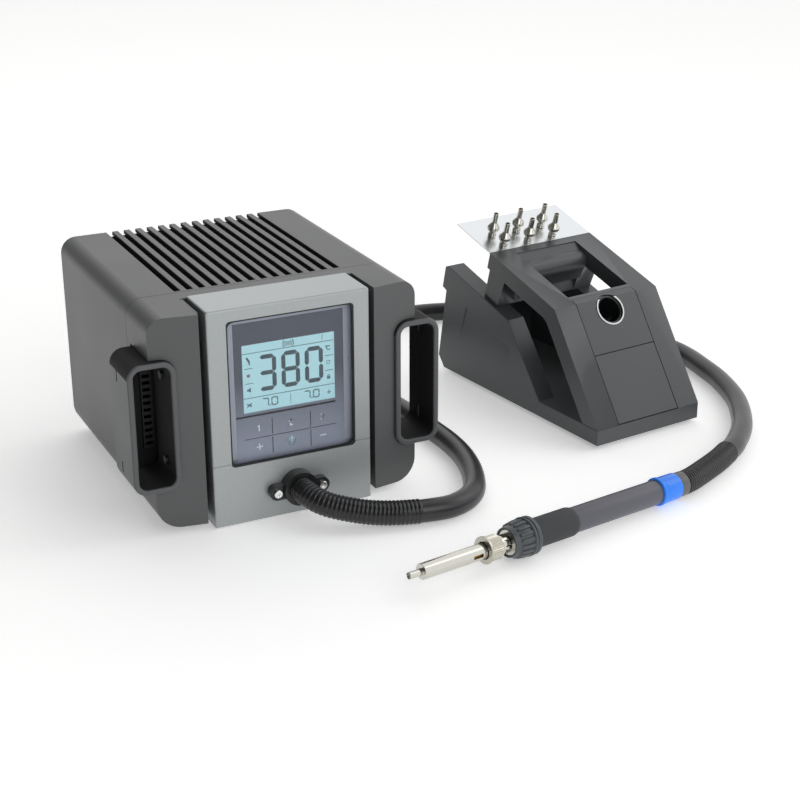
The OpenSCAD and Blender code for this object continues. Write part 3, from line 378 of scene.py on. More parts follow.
def bright_metal(colour, roughness, line, length=1.0, depth=0.01):
    """Bare or plated metal: fine lines of that width in mm, drawn out along X by length, so that
    brushed or rolled sheet shows its direction and a plated piece only a faint haze."""
    def build(tree):
        place = add(tree, "TexCoord").outputs["Object"]
        drawn = add(tree, "Mapping", {"Vector": place, "Scale": (1 / length, 1, 1)}).outputs[0]
        lines = add(tree, "TexNoise", {"Vector": drawn, "Scale": 1000 / line, "Detail": 2.0}).outputs[0]
        haze = add(tree, "TexNoise", {"Vector": place, "Scale": 60.0, "Detail": 2.0}).outputs[0]
        rough = add(tree, "MapRange", {0: haze, 3: roughness - 0.06, 4: roughness + 0.06}).outputs[0]
        bump = add(tree, "Bump", {"Strength": 0.25, "Distance": depth * mm, "Height": lines}).outputs[0]
        return add(tree, "BsdfPrincipled", {"Base Color": two_tones(tree, lines, colour, 0.04),
            "Metallic": 1.0,
                                            "Roughness": rough, "Normal": bump}).outputs[0]
    return build


# Galvanised sheet: a grey metal with a cloudy, half-dull sheen.
galvanised = material("galvanised_steel_sheet", bright_metal("#8d9296", 0.45, 3.0, depth=0.03))
carried("base_pan blower_motor", galvanised)

# ---- Silver panels ----------------------------------------------------------------------------
# The channel in front is folded from 2.5 mm aluminium sheet in two pieces, with a seam below the
# display. It is sprayed with a satin silver-grey paint, and a thin painted strip shows in its gap.


def folds(x, y, z):
    """The long outer folds: two of the front, the top and a side meet there."""
    front = abs(y - unit_at[1]) < 0.1 * mm
    top = abs(z - 159.3 * mm) < 0.1 * mm
    side = abs(abs(x - unit_at[0]) - 59.5 * mm) < 0.1 * mm
    return front.astype(int) + top + side > 1


def flake_paint(tree):
    """Metallic paint: a half-metal coat whose flakes, 0.4 mm apart here so that they show, catch
    the light one by one, with a satin clear layer over them."""
    place = add(tree, "TexCoord").outputs["Object"]
    flakes = add(tree, "TexVoronoi", {"Vector": place, "Scale": 2500.0}).outputs["Color"]
    flake = add(tree, "SeparateColor", {0: flakes}).outputs[0]
    peel = add(tree, "TexNoise", {"Vector": place, "Scale": 700.0, "Detail": 2.0}).outputs[0]
    bump = add(tree, "Bump", {"Strength": 0.2, "Distance": 0.01 * mm, "Height": peel}).outputs[0]
    rough = add(tree, "MapRange", {0: flake, 3: 0.36, 4: 0.46}).outputs[0]
    return add(tree, "BsdfPrincipled", {"Base Color": two_tones(tree, flake, "#a4a8a9", 0.07),
        "Metallic": 0.6,
                                        "Roughness": rough, "Coat Weight": 0.25, "Coat Roughness": 0.35,
                                        "Normal": bump}).outputs[0]


panel_paint = material("satin_silver_grey_paint", flake_paint)
for name, node in (("silver_sheet_upper", "panel_upper"), ("silver_sheet_lower", "panel_lower")):
    softened(name, node, panel_paint, [(1.4, folds), (0.25, everywhere)])
softened("strip_in_gap", "gap_trim", material("grey_painted_strip", moulded("#55595a", 0.4, 0.4)),
         [(0.3, everywhere)])

# ---- Display ----------------------------------------------------------------------------------
# A polished acrylic window lies behind an opening in the sheet, in a black rubber gasket. Behind
# it come a printed film, a backlit liquid-crystal glass and a pad of touch keys, all on one board.

opening = np.array([-45.85, 44.0, 93.5, 106.5])
film_y, glass_y = 5.7, 6.2


def eased(corners, radius, steps=4):
    """A closed outline whose corners are cut by parabolas. Each starts and ends at radius from its
    corner p, or halfway to the next one, at a and b, and is (1-t)^2 a + 2t(1-t) p + t^2 b."""
    p = np.asarray(corners, float)
    ends = []
    for shift in (1, -1):
        way = np.roll(p, shift, 0) - p
        long = np.maximum(np.linalg.norm(way, axis=1), 1e-9)
        ends.append(p + way * (np.minimum(radius, long / 2) / long)[:, None])
    t = np.linspace(0, 1, steps + 1)[None, :, None]
    a, b = ends
    return ((1 - t) ** 2 * a[:, None] + 2 * t * (1 - t) * p[:, None] + t ** 2 * b[:, None]).reshape(-1, 2)


def box_outline(x, z, wide, high):
    return np.array([[x, z], [x + wide, z], [x + wide, z + high], [x, z + high]])


# A square-edged ring: the opening's outline, pushed in by 1.1 mm and back to the window.
rim = [eased(box_outline(*opening[:2] + inset, *opening[2:] - 2 * inset), 3 * 1.7) for inset in (0.02, 1.1)]
levels = [(rim[0], 0.5), (rim[1], 0.5), (rim[1], 2.45), (rim[0], 2.45)]
rings = np.stack([np.column_stack([ring[:, 0], np.full(len(ring), y), ring[:, 1]]) for ring, y in levels])
piece("window_gasket", unit_at + rings.reshape(-1, 3) * mm, grid_faces(4, len(rim[0]), loop=True),
      material("black_gasket_rubber", rubber("#0d0e0f", 0.5, 0.3)))


def clear_sheet(tree):
    """Polished acrylic with a breath of violet: nearly all the light goes through, and its mirror
    grows as the fifth power of one minus the cosine of the slant, alike on both of its faces."""
    place = add(tree, "TexCoord").outputs["Object"]
    wipe = add(tree, "TexNoise", {"Vector": place, "Scale": 25.0}).outputs[0]
    rough = add(tree, "MapRange", {0: wipe, 3: 0.02, 4: 0.07}).outputs[0]
    slant = add(tree, "LayerWeight", {"Blend": 0.5}).outputs["Facing"]
    mirror = add(tree, "Math", {0: slant, 1: 5.0}, operation="POWER").outputs[0]
    solid = add(tree, "MapRange", {0: mirror, 3: 0.06, 4: 1.0}).outputs[0]
    return add(tree, "BsdfPrincipled", {"Base Color": linear("#a9abc4"), "Roughness": rough, "IOR": 1.49,
                                        "Alpha": solid}).outputs[0]


carried("display_window", material("polished_clear_acrylic", clear_sheet))


def printed_film(upper, lower):
    """Screen-printed film: even satin ink from upper down to lower over the height of the keys,
    with a trace of the printing mesh, 0.5 mm apart."""
    def build(tree):
        place = add(tree, "TexCoord").outputs["Object"]
        mesh = add(tree, "TexNoise", {"Vector": place, "Scale": 2000.0}).outputs[0]
        ink = linear(upper)
        if upper != lower:
            height = add(tree, "SeparateXYZ", {0: place}).outputs[2]
            share = add(tree, "MapRange", {0: height, 1: 50 * mm, 2: 105 * mm}).outputs[0]
            ink = add(tree, "Mix", {0: share, 6: linear(lower), 7: ink}, data_type="RGBA").outputs[2]
        bump = add(tree, "Bump", {"Strength": 0.15, "Distance": 0.01 * mm, "Height": mesh}).outputs[0]
        return add(tree, "BsdfPrincipled", {"Base Color": ink, "Roughness": 0.4, "Normal": bump}).outputs[0]
    return build


border_ink = material("pale_violet_ink_on_film", printed_film("#a2a7b4", "#a0a5b3"))
carried("display_mask touch_key_pad", border_ink)


def ink(name, shapes, corner, right, up, made_of, slot, height=0.05, body="root"):
    """A flat mark: outlines in mm, measured from a corner point along right and up, as a layer of
    that height in mm which stands out of their plane."""
    right, up = np.array(right, float), np.array(up, float)
    out = np.cross(right, up)
    points, faces = [], []
    for shape in shapes:
        flat = np.asarray(shape)[:, :1] * right + np.asarray(shape)[:, 1:] * up
        start, n = sum(map(len, points)), len(flat)
        points.append(np.vstack([flat, flat + height * out]))
        faces += [[start + i for i in loop] for loop in capped(2, n)]
    return piece(name, np.array(corner) + np.vstack(points) * mm, faces, made_of, body=body)


def bars(path, width):
    """The outline of a bar for each stretch of a path, run on by half its width at both ends."""
    a, b = np.array(path[:-1], float), np.array(path[1:], float)
    along = (b - a) / np.linalg.norm(b - a, axis=1)[:, None] * width / 2
    across = along[:, ::-1] * [-1, 1]
    return list(np.stack([a - along - across, b + along - across, b + along + across, a - along + across], 1))


def arc(x, z, radius, start, end, count=13):
    turn = np.radians(np.linspace(start, end, count))
    return np.column_stack([x + radius * np.cos(turn), z + radius * np.sin(turn)])


def digit(figure, x, z, wide, high, thick):
    """The lit bars of a seven-segment figure, each a lozenge with pointed ends, a little apart."""
    x0, x1, z0, z1 = x + thick / 2, x + wide - thick / 2, z + thick / 2, z + high - thick / 2
    middle = (z0 + z1) / 2
    spots = {"A": (x0, z1, x1, z1), "B": (x1, middle, x1, z1), "C": (x1, z0, x1, middle),
        "D": (x0, z0, x1, z0),
             "E": (x0, z0, x0, middle), "F": (x0, middle, x0, z1), "G": (x0, middle, x1, middle)}
    lit = {"3": "ABCDG", "8": "ABCDEFG", "0": "ABCDEF", "7": "ABC"}[figure]
    shapes = []
    for bar in lit:
        a, b = np.array(spots[bar][:2]), np.array(spots[bar][2:])
        along = (b - a) / np.linalg.norm(b - a) * thick / 2
        across = along[::-1] * [-1, 1]
        a, b = a + along * 0.12, b - along * 0.12
        shapes.append(np.array([a, a + along - across, b - along - across, b, b - along + across,
                                a + along + across]))
    return shapes


# The film's dark field, and a black bar under the liquid-crystal glass that is painted shadow, for the shade
# between the glass and the keys.
front_of_unit = dict(right=(1, 0, 0), up=(0, 0, 1))
film = unit_at + np.array([0, film_y, 0]) * mm
lcd = np.array([-33.3, 80.1, 68.4, 49.6])
dark_ink = material("dark_violet_grey_ink", printed_film("#484e58", "#8f97a7"))
for name, spot in (("field_above", (-39.4, 129.7, 81.2, 16.1)), ("field_below", (-39.4, 44.2, 81.2, 35.9)),
                   ("field_left", (-39.4, 80.1, 6.1, 49.6)), ("field_right", (35.1, 80.1, 6.7, 49.6))):
    ink("ink_" + name, [box_outline(*spot)], film, **front_of_unit, made_of=dark_ink, slot="printed_sheet")
black_ink_and_painted_shadow = material("black_ink_and_painted_shadow", printed_film("#181a1f", "#181a1f"))
key_rows, key_columns = (46.9, 60.6, 74.7), (-33.3, -12.9, 15.9, 35.1)
# The first, wide bar under the liquid-crystal glass is painted shadow; the thin ones are the keys' printed
# lines.
lines = bars([(-38.6, 77.6), (34.6, 77.6)], 1.5)
lines += bars([(key_columns[0], key_rows[1]), (key_columns[3], key_rows[1])], 0.5)
lines += [bar for x in key_columns[1:3] for bar in bars([(x, 47.4), (x, 59)], 0.6) + bars([(x, 62), (x, 73)],
    0.6)]
ink("ink_lines_of_keys_and_painted_shadow", lines, film + np.array([0, -0.04, 0]) * mm, **front_of_unit, made_of=black_ink_and_painted_shadow,
    slot="printed_sheet")
two = np.array([(0, .8), (.15, .96), (.5, 1), (.85, .93), (.92, .72), (.7, .45), (0, 0), (1, 0)])
three = np.array([(0, .93), (.4, 1), (.85, .9), (.9, .72), (.75, .57), (.4, .53), (.8, .47), (1, .26),
    (.85, .06),
                  (.4, 0), (0, .07)])
one = np.array([(.2, .8), (.55, 1), (.55, 0)])
labels = [bar for shape, x, z in ((one, -24, 65.8), (two, -0.3, 65.8), (three, 23.8, 65.8))
          for bar in bars(shape * [2.4, 4] + [x, z], 0.8)]
labels += bars([(-24.6, 53.6), (-20.8, 53.6)], 0.8) + bars([(-22.7, 51.7), (-22.7, 55.5)], 0.8)
labels += bars([(23.4, 53.6), (27.2, 53.6)], 0.8)
ink("ink_key_labels", labels, film + np.array([0, -0.04, 0]) * mm, **front_of_unit,
    made_of=material("pale_grey_ink", printed_film("#dfe6ec", "#dfe6ec")), slot="printed_sheet")
power = bars(arc(1.5, 53.4, 2.6, 125, 415), 0.8) + bars([(1.5, 53.6), (1.5, 57)], 0.8)
ink("ink_power_mark", power, film + np.array([0, -0.04, 0]) * mm, **front_of_unit,
    made_of=material("pale_blue_ink", printed_film("#bfe6ef", "#bfe6ef")), slot="printed_sheet")


def backlit(tree):
    """Liquid-crystal glass over a light guide: an even pale blue glow, a touch brighter in the
    middle, under a satin polariser."""
    place = add(tree, "TexCoord").outputs["Object"]
    middle = add(tree, "Mapping", {"Vector": place, "Location": (0.1191, 0, -0.1049)}).outputs[0]
    far = add(tree, "VectorMath", {0: middle}, operation="LENGTH").outputs["Value"]
    glow = add(tree, "MapRange", {0: far, 1: 0.0, 2: 0.05, 3: 0.58, 4: 0.53}).outputs[0]
    return add(tree, "BsdfPrincipled", {"Base Color": linear("#7fa9ae"), "Roughness": 0.35,
                                        "Emission Color": linear("#a9cfd6"),
                                        "Emission Strength": glow}).outputs[0]


carried("lcd_module", material("backlit_liquid_crystal_glass", backlit))
u = lcd[2]
v = lcd[3]
big = [bar for figure, x in (("3", .165), ("8", .42), ("0", .675)) for bar in
       digit(figure, x * u, .285 * v, .2 * u, .535 * v, 3.1)]
small = [bar for figure, x in (("7", .2), ("0", .3), ("7", .655), ("0", .755)) for bar in
         digit(figure, x * u, .05 * v, .075 * u, .13 * v, 0.9)]
small += bars([(.287 * u, .06 * v), (.288 * u, .06 * v)],
    0.8) + bars([(.742 * u, .06 * v), (.743 * u, .06 * v)], 0.8)
rules = bars([(0.6, .87 * v), (u - 0.6, .87 * v)], 0.5) + bars([(0.6, .215 * v), (u - 0.6, .215 * v)], 0.5)
rules += bars([(.51 * u, .04 * v), (.51 * u, .18 * v)], 0.35) + bars([(.87 * u, .9 * v), (.87 * u, .97 * v)],
    0.5)
rules += [bar for z in (.65, .43) for x in (.03,
    .9) for bar in bars([(x * u, z * v), ((x + .08) * u, z * v)], 0.5)]
waves = [bar for side in (0, 180) for radius in (2.4, 3.9) for bar in
         bars(arc(.5 * u, .93 * v, radius, side - 38, side + 38, 7), 0.6)]
waves += [bar for x in (-0.9, 0, 0.9) for bar in bars([(.5 * u + x, .905 * v), (.5 * u + x, .955 * v)], 0.5)]
hand = bars([(.055 * u, .8 * v), (.075 * u, .755 * v)],
    1.5) + bars([(.075 * u, .755 * v), (.078 * u, .71 * v)], 0.9)
speaker = [np.array([(.045, .32), (.045, .35), (.06, .35), (.085, .375), (.085, .295), (.06, .32)]) * [u, v]]
fan = [bar for turn in (35, 145) for bar in bars(np.array([[-1, 0], [1, 0]]) * 1.7
       @ np.array([[math.cos(math.radians(turn)), math.sin(math.radians(turn))],
                   [-math.sin(math.radians(turn)), math.cos(math.radians(turn))]]) + [.065 * u, .11 * v],
                   0.9)]
degree = bars(arc(.912 * u, .79 * v, 0.55, 0, 360, 9), 0.4) + bars(arc(.94 * u, .765 * v, 1.5, 50, 310, 9),
    0.6)
battery = bars([(.915, .57), (.95, .57), (.95, .53), (.915, .53), (.915, .57)] * np.array([u, v]), 0.4)
lock = [box_outline(.915 * u, .3 * v, .037 * u, .04 * v)] + bars(arc(.9335 * u, .345 * v, 0.8, 0, 180, 7),
    0.45)
plus = bars([(.915 * u, .1 * v), (.953 * u, .1 * v)],
    0.6) + bars([(.934 * u, .075 * v), (.934 * u, .127 * v)], 0.6)
glass = unit_at + np.array([lcd[0], glass_y, lcd[1]]) * mm
dark_crystal = material("dark_liquid_crystal", printed_film("#33494d", "#33494d"))
ink("crystal_figures", big, glass, **front_of_unit, made_of=dark_crystal, slot="lcd_glass")
ink("crystal_small_marks", small + rules + waves + hand + speaker + fan + degree + battery + lock + plus,
    glass,
    **front_of_unit, made_of=material("thin_liquid_crystal", printed_film("#4a666a", "#4a666a")),
    slot="lcd_glass")
ink("crystal_red_dot", [arc(.065 * u, .545 * v, 1.3, 0, 345, 16)], glass, **front_of_unit,
    made_of=material("red_indicator_film", printed_film("#8d6a72", "#8d6a72")), slot="lcd_glass")

# ---- Handles ----------------------------------------------------------------------------------
# Each grab handle is a moulded nylon loop with a soft front lip, held to the frame by two screws
# through its inner wall. Its inner faces and top shoulder are painted shade: a near-black rubber
# material stands for the shade that falls inside the loop and in the recess behind its top.

handle_plastic = material("grained_grey_nylon", moulded("#505254", 0.44, 0.5))
painted_shade_lining = material("painted_shade_black_rubber", rubber("#121313", 0.78, 0.5))
handle_front = unit_at[1] + 1.76 * mm


def front_lip(x, y, z):
    return abs(y - handle_front) < 0.1 * mm


for name, node in (("grab_loop_left", "handle_left"), ("grab_loop_right", "handle_right")):
    loop = softened(name, node, handle_plastic, [(1.3, front_lip), (0.5, everywhere)])

    # The faces inside the loop and on its top shoulder, which get the near-black painted shade.
    def painted_shade_faces(at, face):
        across = abs(at[0] - unit_at[0]) - 98 * mm
        high = at[2] - 81.75 * mm
        inside = (abs(across) < 13.6 * mm) & (abs(high) < 43.9 * mm) & (at[1] > handle_front + 1.4 * mm)
        shoulder = (high > 37 * mm) & (at[1] > handle_front + 3 * mm)
        return inside | shoulder
    repaint(loop, painted_shade_lining, painted_shade_faces)
dark_steel = material("black_oxide_steel", bright_metal("#4c4e50", 0.42, 0.6))
carried("handle_screws", dark_steel)

# ---- Hose socket ------------------------------------------------------------------------------
# A glossy black nylon flange with two ears, held by two bright socket-head screws. The hose and its
# sleeve come out of its collar.

gloss_black = material("glossy_black_nylon", moulded("#1b1c1d", 0.28, 0.6, depth=0.012))
softened("socket_flange", "hose_socket", gloss_black, [(0.7, everywhere)])


def turned(profile, origin, axis, sides=64, swell=0.0):
    """Points of a turned shape. For each (place, radius) of the profile, in mm, a circle of that
    radius stands square to the axis, at that place along it from the origin, in metres. swell, also
    in mm, is added to the radius, for each row and angle."""
    axis = np.array(axis, float) / np.linalg.norm(axis)
    side = np.cross(axis, [0, 0, 1.0] if abs(axis[2]) < 0.9 else [0, 1.0, 0])
    side /= np.linalg.norm(side)
    up = np.cross(side, axis)
    turn = np.linspace(0, 2 * math.pi, sides, endpoint=False)
    ring = np.cos(turn)[:, None] * side + np.sin(turn)[:, None] * up
    place, radius = np.asarray(profile, float).T
    radii = radius[:, None] + swell
    return np.array(origin) + mm * (place[:, None, None] * axis + radii[:, :, None] * ring).reshape(-1, 3)


def hexagon(across, sides):
    """Radii of a hexagon that measures across between two flats: half of it over the cosine of the
    angle from the nearest flat's middle."""
    turn = np.linspace(0, 2 * math.pi, sides, endpoint=False)
    return across / 2 / np.cos((turn + math.pi / 6) % (math.pi / 3) - math.pi / 6)


# Bright zinc: a mirror with a faint haze.
zinc = material("bright_zinc_plate", bright_metal("#eeefee", 0.16, 0.6))
head = np.array([(4.0, 0), (4.0, 3.0), (7.7, 3.0), (8.0, 2.7), (8.0, 0), (6.9, 0), (6.9, 0)])
key = np.zeros((len(head), 48))
key[4:6] = hexagon(2.6, 48)
for side in (-1, 1):
    start = unit_at + np.array([2 + 17 * side, 0, 21]) * mm
    name = "socket_screw_left" if side < 0 else "socket_screw_right"
    piece(name, turned(head, start, (0, -1, 0), 48, key), grid_faces(len(head), 48), zinc,
          "socket_screws" if side < 0 else ())

# ---- Rear fittings ----------------------------------------------------------------------------
# The mains inlet is a black nylon socket with three nickel-plated pins and a fuse drawer under
# them. Beside it a red rocker switch snaps into its own frame.

for name, node, body in (("inlet_body", "mains_inlet", "root"), ("fuse_carrier", "fuse_drawer", "drawer"),
                         ("switch_frame", "rocker_frame", "root")):
    softened(name, node, black_plastic, [(0.3, everywhere)], body=body)
softened("rocker_cap", "power_rocker", material("glossy_red_polycarbonate",
    moulded("#a31a1e", 0.25, 0.8, 0.01)),
         [(0.4, everywhere)], body="rocker")
plated = material("nickel_plated_brass", bright_metal("#d3cfc2", 0.22, 0.5))
for name, x, z in (("pin_line", -7, -2), ("pin_neutral", 7, -2), ("pin_earth", 0, 2.6)):
    corner = unit_at + np.array([-52 + x + 1, 197.9, 110 + z - 2]) * mm
    ink(name, [eased(box_outline(0, 0, 2, 4), 0.5)], corner, (-1, 0, 0), (0, 0, 1), plated, "mica",
        height=14.0)
white_ink = material("white_switch_ink", printed_film("#e9e9e6", "#e9e9e6"))
rocker_axis = unit_at + np.array([-4, 217, 110]) * mm
for name, low, high, marks in (
        ("switch_mark_off", (3.0, -10.5), (0.8, 0.0), bars(arc(0, 5.4, 1.9, 0, 360, 17), 0.6)),
        ("switch_mark_on", (0.8, 0.0), (-0.6, 11.1), bars([(0, 3.2), (0, 7.2)], 0.7))):
    slope = np.array([0, high[0] - low[0], high[1] - low[1]])
    slope = slope / np.linalg.norm(slope)
    ink(name, marks, rocker_axis + np.array([0, *low]) * mm, (-1, 0, 0), slope, white_ink, "rocker_plastic",
        body="rocker")

# ---- Inside the unit --------------------------------------------------------------------------
# A centrifugal blower with a steel motor on its cover feeds a moulded duct. A toroidal transformer
# stands behind it, and a glass-epoxy board with its heat sink spans the case above them.


def winding(tree):
    """Enamelled copper: turns 1.6 mm apart that run from the hole outwards, over the coil's edge,
    with a varnish gloss."""
    place = add(tree, "TexCoord").outputs["Object"]
    centre = tuple(-(unit_at + np.array([-48.5, 153, 0]) * mm))
    about = add(tree, "Mapping", {"Vector": place, "Location": centre}).outputs[0]
    angle = add(tree, "TexGradient", {"Vector": about}, gradient_type="RADIAL").outputs["Fac"]
    phase = add(tree, "Math", {0: angle, 1: 2 * math.pi * 150}, operation="MULTIPLY").outputs[0]
    turns = add(tree, "Math", {0: phase}, operation="SINE").outputs[0]
    share = add(tree, "MapRange", {0: turns, 1: -1.0, 2: 1.0}).outputs[0]
    bump = add(tree, "Bump", {"Strength": 0.7, "Distance": 0.4 * mm, "Height": share}).outputs[0]
    return add(tree, "BsdfPrincipled", {"Base Color": two_tones(tree, share, "#b06f33", 0.3), "Metallic": 0.7,
                                        "Roughness": 0.3, "Normal": bump}).outputs[0]


def solder_mask(tree):
    """Green lacquer over copper tracks, which stand up a little and run square to each other."""
    place = add(tree, "TexCoord").outputs["Object"]
    tracks = add(tree, "TexBrick", {"Vector": place, "Color1": linear("#123f28"), "Color2": linear("#1b5236"),
                                    "Mortar": linear("#2f7a4f"), "Scale": 90.0, "Mortar Size": 0.06}).outputs
    bump = add(tree, "Bump", {"Strength": 0.4, "Distance": 0.05 * mm, "Height": tracks["Fac"]}).outputs[0]
    return add(tree, "BsdfPrincipled", {"Base Color": tracks["Color"], "Roughness": 0.32,
                                        "Normal": bump}).outputs[0]


carried("transformer", material("enamelled_copper_winding", winding))
carried("main_board display_board", material("solder_masked_glass_epoxy", solder_mask))
carried("heat_sink", material("extruded_aluminium", bright_metal("#b4b8ba", 0.35, 0.4, length=20.0)))
carried("blower_housing blower_cover", black_plastic)
carried("blower_impeller air_duct", material("natural_white_nylon", moulded("#d6d2c6", 0.45, 0.6)))
carried("motor_shaft", material("ground_steel_shaft", bright_metal("#c6c9cb", 0.2, 0.3)))

# ---- Hand tool: tube, grip and collar ---------------------------------------------------------
# A satin nylon tube with a foam-rubber grip over its front half and a blue ring at its back, where
# a grey rubber neck holds the hose. A ribbed black collar with a double rim screws on in front.

tool_at = np.array([-8, -164.9, 13.8]) * mm
yaw, tilt = math.radians(11.5), math.radians(1.5)
tool_axis = (math.cos(tilt) * math.cos(yaw), math.cos(tilt) * math.sin(yaw), -math.sin(tilt))


def tool_piece(name, corners, radius, made_of, node, body="root", sides=72, swell=0.0, smooth=35):
    """A turned piece on the tool's axis. Its corners are (place, radius) in mm round a closed outline,
    and each is rounded by that much."""
    profile = eased(corners, radius, 3)
    if not np.isscalar(swell):
        swell = swell(profile[:, 0][:, None], np.linspace(0, 2 * math.pi, sides, endpoint=False)[None, :])
    return piece(name, turned(profile, tool_at, tool_axis, sides, swell),
                 grid_faces(len(profile), sides, loop=True), made_of, node, body, smooth)


# A milky grey rubber: cloudy, with the dark hose showing through in patches.
milky = material("milky_grey_rubber", rubber("#5c5d5e", 0.35, 2.0))
tool_piece("tail_neck", [(144.5, 6), (144.5, 9), (152.9, 9), (152.9, 6)], 0.5, milky,
    "tool_neck")
# Glossy blue ABS: a clean colour with sharp highlights.
blue = material("glossy_blue_abs", moulded("#2083fb", 0.22, 0.8, depth=0.008, spread=0.03))
tool_piece("coloured_ring", [(125.5, 6), (125.5, 9.6), (126.2, 10.4), (128.6, 10.4), (129.3, 9.55),
    (130.0, 9.8),
                             (144.5, 9.8), (144.5, 6)], 0.45, blue, "blue_ring")
satin_tube = material("satin_violet_grey_nylon", moulded("#56565f", 0.36, 0.8, depth=0.012))
tool_piece("handle_tube", [(6, 7), (6, 8.7), (44, 8.7), (44, 9), (125.5, 9), (125.5, 7)], 0.15, satin_tube,
           "tool_tube")
# Foam rubber: dark, dull, with pores about half a millimetre wide.
foam = material("foam_rubber_grip", rubber("#2e3134", 0.58, 0.8))
tool_piece("foam_grip", [(6, 8.72), (6, 10.3), (41, 10.3), (44, 9.4), (44, 8.72)], 0.5, foam,
           "soft_grip")


def ribs(place, turn):
    """Eighteen flat-topped ribs, which stand 1.1 mm proud between -10.5 and -0.4 mm: the cosine of 18
    times the angle, made steep and cut to 0 and 1, times a ramp at either end."""
    crest = np.clip(2.2 * np.cos(18 * turn) + 0.3, 0, 1)
    along = np.clip(np.minimum(place + 10.9, -0.1 - place) / 0.7, 0, 1)
    return 1.1 * crest * along * (place > -11.5)


collar_outline = [(-15, 9.2), (-15, 10.4), (-11, 11.1), (-9.5, 11.3), (-8, 11.6), (-5, 12.0), (-2, 12.1),
                  (-0.6, 12.1), (-0.3, 12.6), (0.4, 13.7), (1.8, 13.7), (2.2, 12.8), (2.8, 12.8), (3.2, 13.5),
                  (6, 13.5), (6, 8.8), (-3, 8.8), (-3, 9.2)]


def collar_swell(place, turn):
    outer = np.concatenate([[0], np.full(len(place) - 1, 1)])[:, None]
    return ribs(place, turn) * outer * (np.arange(len(place))[:, None] < 0.66 * len(place))


# Moulded black nylon, a little blue, with a soft sheen on its ribs.
collar_nylon = material("slate_black_nylon", moulded("#474c50", 0.32, 0.6, depth=0.015))
tool_piece("ribbed_collar", collar_outline, 0.35, collar_nylon, "tool_collar", sides=360,
           swell=collar_swell, smooth=30)

# ---- Hand tool: nozzle ------------------------------------------------------------------------
# A drawn and nickel-plated tube round a mica-wrapped heater. A knurled nut holds it to a bracket
# with cooling windows, and slots in the tube show the heater's gold colour.

# Nickel plate: a warm mirror with a faint haze.
nickel = material("bright_nickel_plate", bright_metal("#cbc9c1", 0.17, 0.5))
softened("windowed_bracket", "nozzle_bracket", nickel, [(0.25, everywhere)])
knurl_turns = 36


def knurl(place, turn):
    """Straight knurling: a triangle wave of that many turns, 0.5 mm deep, fading at both rims."""
    wave = 2 * np.abs((turn * knurl_turns / (2 * math.pi)) % 1 - 0.5)
    along = np.clip(np.minimum(place + 32.8, -23.2 - place) / 0.5, 0, 1)
    return -0.5 * wave * along


knurled = np.array([(-35, 6.1), (-35, 9.5), (-33.1, 9.5), (-32.9, 8.6), (-32.2, 8.6), (-28, 8.6),
    (-23.8, 8.6),
                    (-23.1, 8.2), (-23, 5.6), (-30, 5.6)])


def knurl_outside(place, turn):
    return knurl(place, turn) * (np.arange(len(place))[:, None] < 0.8 * len(place))


tool_piece("knurled_nut", knurled, 0.3, material("knurled_nickel_plate", bright_metal("#bdb9ae", 0.24, 0.5)),
           "nozzle_nut", body="nut", sides=432, swell=knurl_outside, smooth=25)
softened("drawn_barrel", "nozzle_barrel", nickel, [(0.3, everywhere)], smooth=40)


def mica_wrap(tree):
    """Mica paper wound round the heater wire: gold, glossy in flakes, with turns 1.5 mm apart."""
    place = add(tree, "TexCoord").outputs["Object"]
    along = add(tree, "Mapping", {"Vector": place, "Rotation": (0, 0, -yaw)}).outputs[0]
    turns = add(tree, "TexWave", {"Vector": along, "Scale": 210.0, "Distortion": 1.0}).outputs[1]
    bump = add(tree, "Bump", {"Strength": 0.5, "Distance": 0.15 * mm, "Height": turns}).outputs[0]
    return add(tree, "BsdfPrincipled", {"Base Color": two_tones(tree, turns, "#c9a24a", 0.2), "Metallic": 0.6,
                                        "Roughness": 0.35, "Normal": bump}).outputs[0]


carried("heater_core", material("wound_mica_paper", mica_wrap))

# ---- Holder -----------------------------------------------------------------------------------
# A sloped stand moulded in dark ABS: a base with two rear cheeks, a frame of bars on it, and two
# plates between the posts, the upper one with the socket. A steel weight lies under its floor.

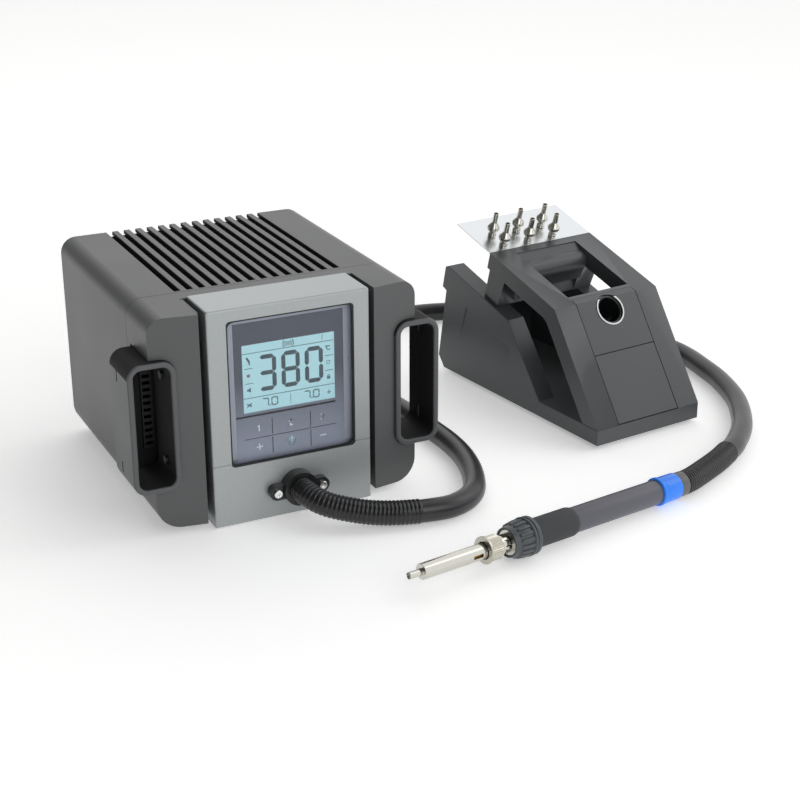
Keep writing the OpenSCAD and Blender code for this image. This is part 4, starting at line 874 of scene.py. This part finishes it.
# Grained ABS with a cool grey tone and a broad soft sheen, brightest where it is seen at a slant.
stand_plastic = material("cool_grey_grained_abs", moulded("#484b4d", 0.33, 0.5, spread=0.1))
for name, node, edge in (("stand_base", "holder_base", 0.7), ("stand_frame", "holder_frame", 0.5),
                         ("front_plate_upper", "insert_upper", 0.35),
                         ("front_plate_lower", "insert_lower", 0.35),
                         ("cross_bar", "rear_crossbar", 0.5)):
    softened(name, node, stand_plastic, [(edge, everywhere)])
softened("rubber_feet_of_stand", "holder_feet", foot_rubber, [(0.5, everywhere)])
softened("socket_lining", "socket_liner", gloss_black, [(0.5, everywhere)])
carried("base_weight", galvanised)
# Polished stainless steel.
polished = material("polished_stainless_steel", bright_metal("#bfc2c3", 0.2, 0.5))
softened("socket_rim", "socket_ring", polished, [(0.25, everywhere)])

# ---- Nozzle tray ------------------------------------------------------------------------------
# A bent stainless sheet with six pegs, screwed to the stand's crown, and six turned and nickelled
# spare nozzles that lift off them.

# Rolled stainless sheet: nearly white, with fine lines along the tray.
rolled = material("rolled_stainless_sheet", bright_metal("#dfe2e4", 0.28, 0.4, length=12.0))
softened("sheet_tray", "nozzle_tray", rolled, [(0.2, everywhere)])
stand_at, stand_turn = np.array([131, -38.3, 0]), math.radians(7.5)
slant = math.radians(16)
turned_by = np.array([[math.cos(stand_turn), -math.sin(stand_turn), 0],
                      [math.sin(stand_turn), math.cos(stand_turn), 0], [0, 0, 1]])
crown = np.array([0, 142.12, 122.42])
nozzle_axis = turned_by @ [0, -math.sin(slant), math.cos(slant)]
nozzle_outline = [(0.1, 1.65), (0.1, 3.4), (2.6, 3.4), (3.2, 2.9), (4.4, 3.1), (7.2, 5.0), (9.2, 5.0),
    (13.2, 2.1),
                  (21.6, 2.1), (21.6, 1.5), (10.8, 1.5), (9.0, 1.65)]
for i in range(6):
    across, back = 17 + 25.3 * (i % 3), 5.5 + 16.5 * (i // 3)
    foot = stand_at + turned_by @ (crown + [across, back * math.cos(slant), back * math.sin(slant)])
    profile = eased(nozzle_outline, 0.5, 3)
    piece(f"turned_nozzle_{i + 1}", turned(profile, foot * mm, nozzle_axis, 48),
        grid_faces(len(profile), 48, loop=True),
          nickel, f"spare_nozzle_{i + 1}", body=f"nozzle_{i + 1}")
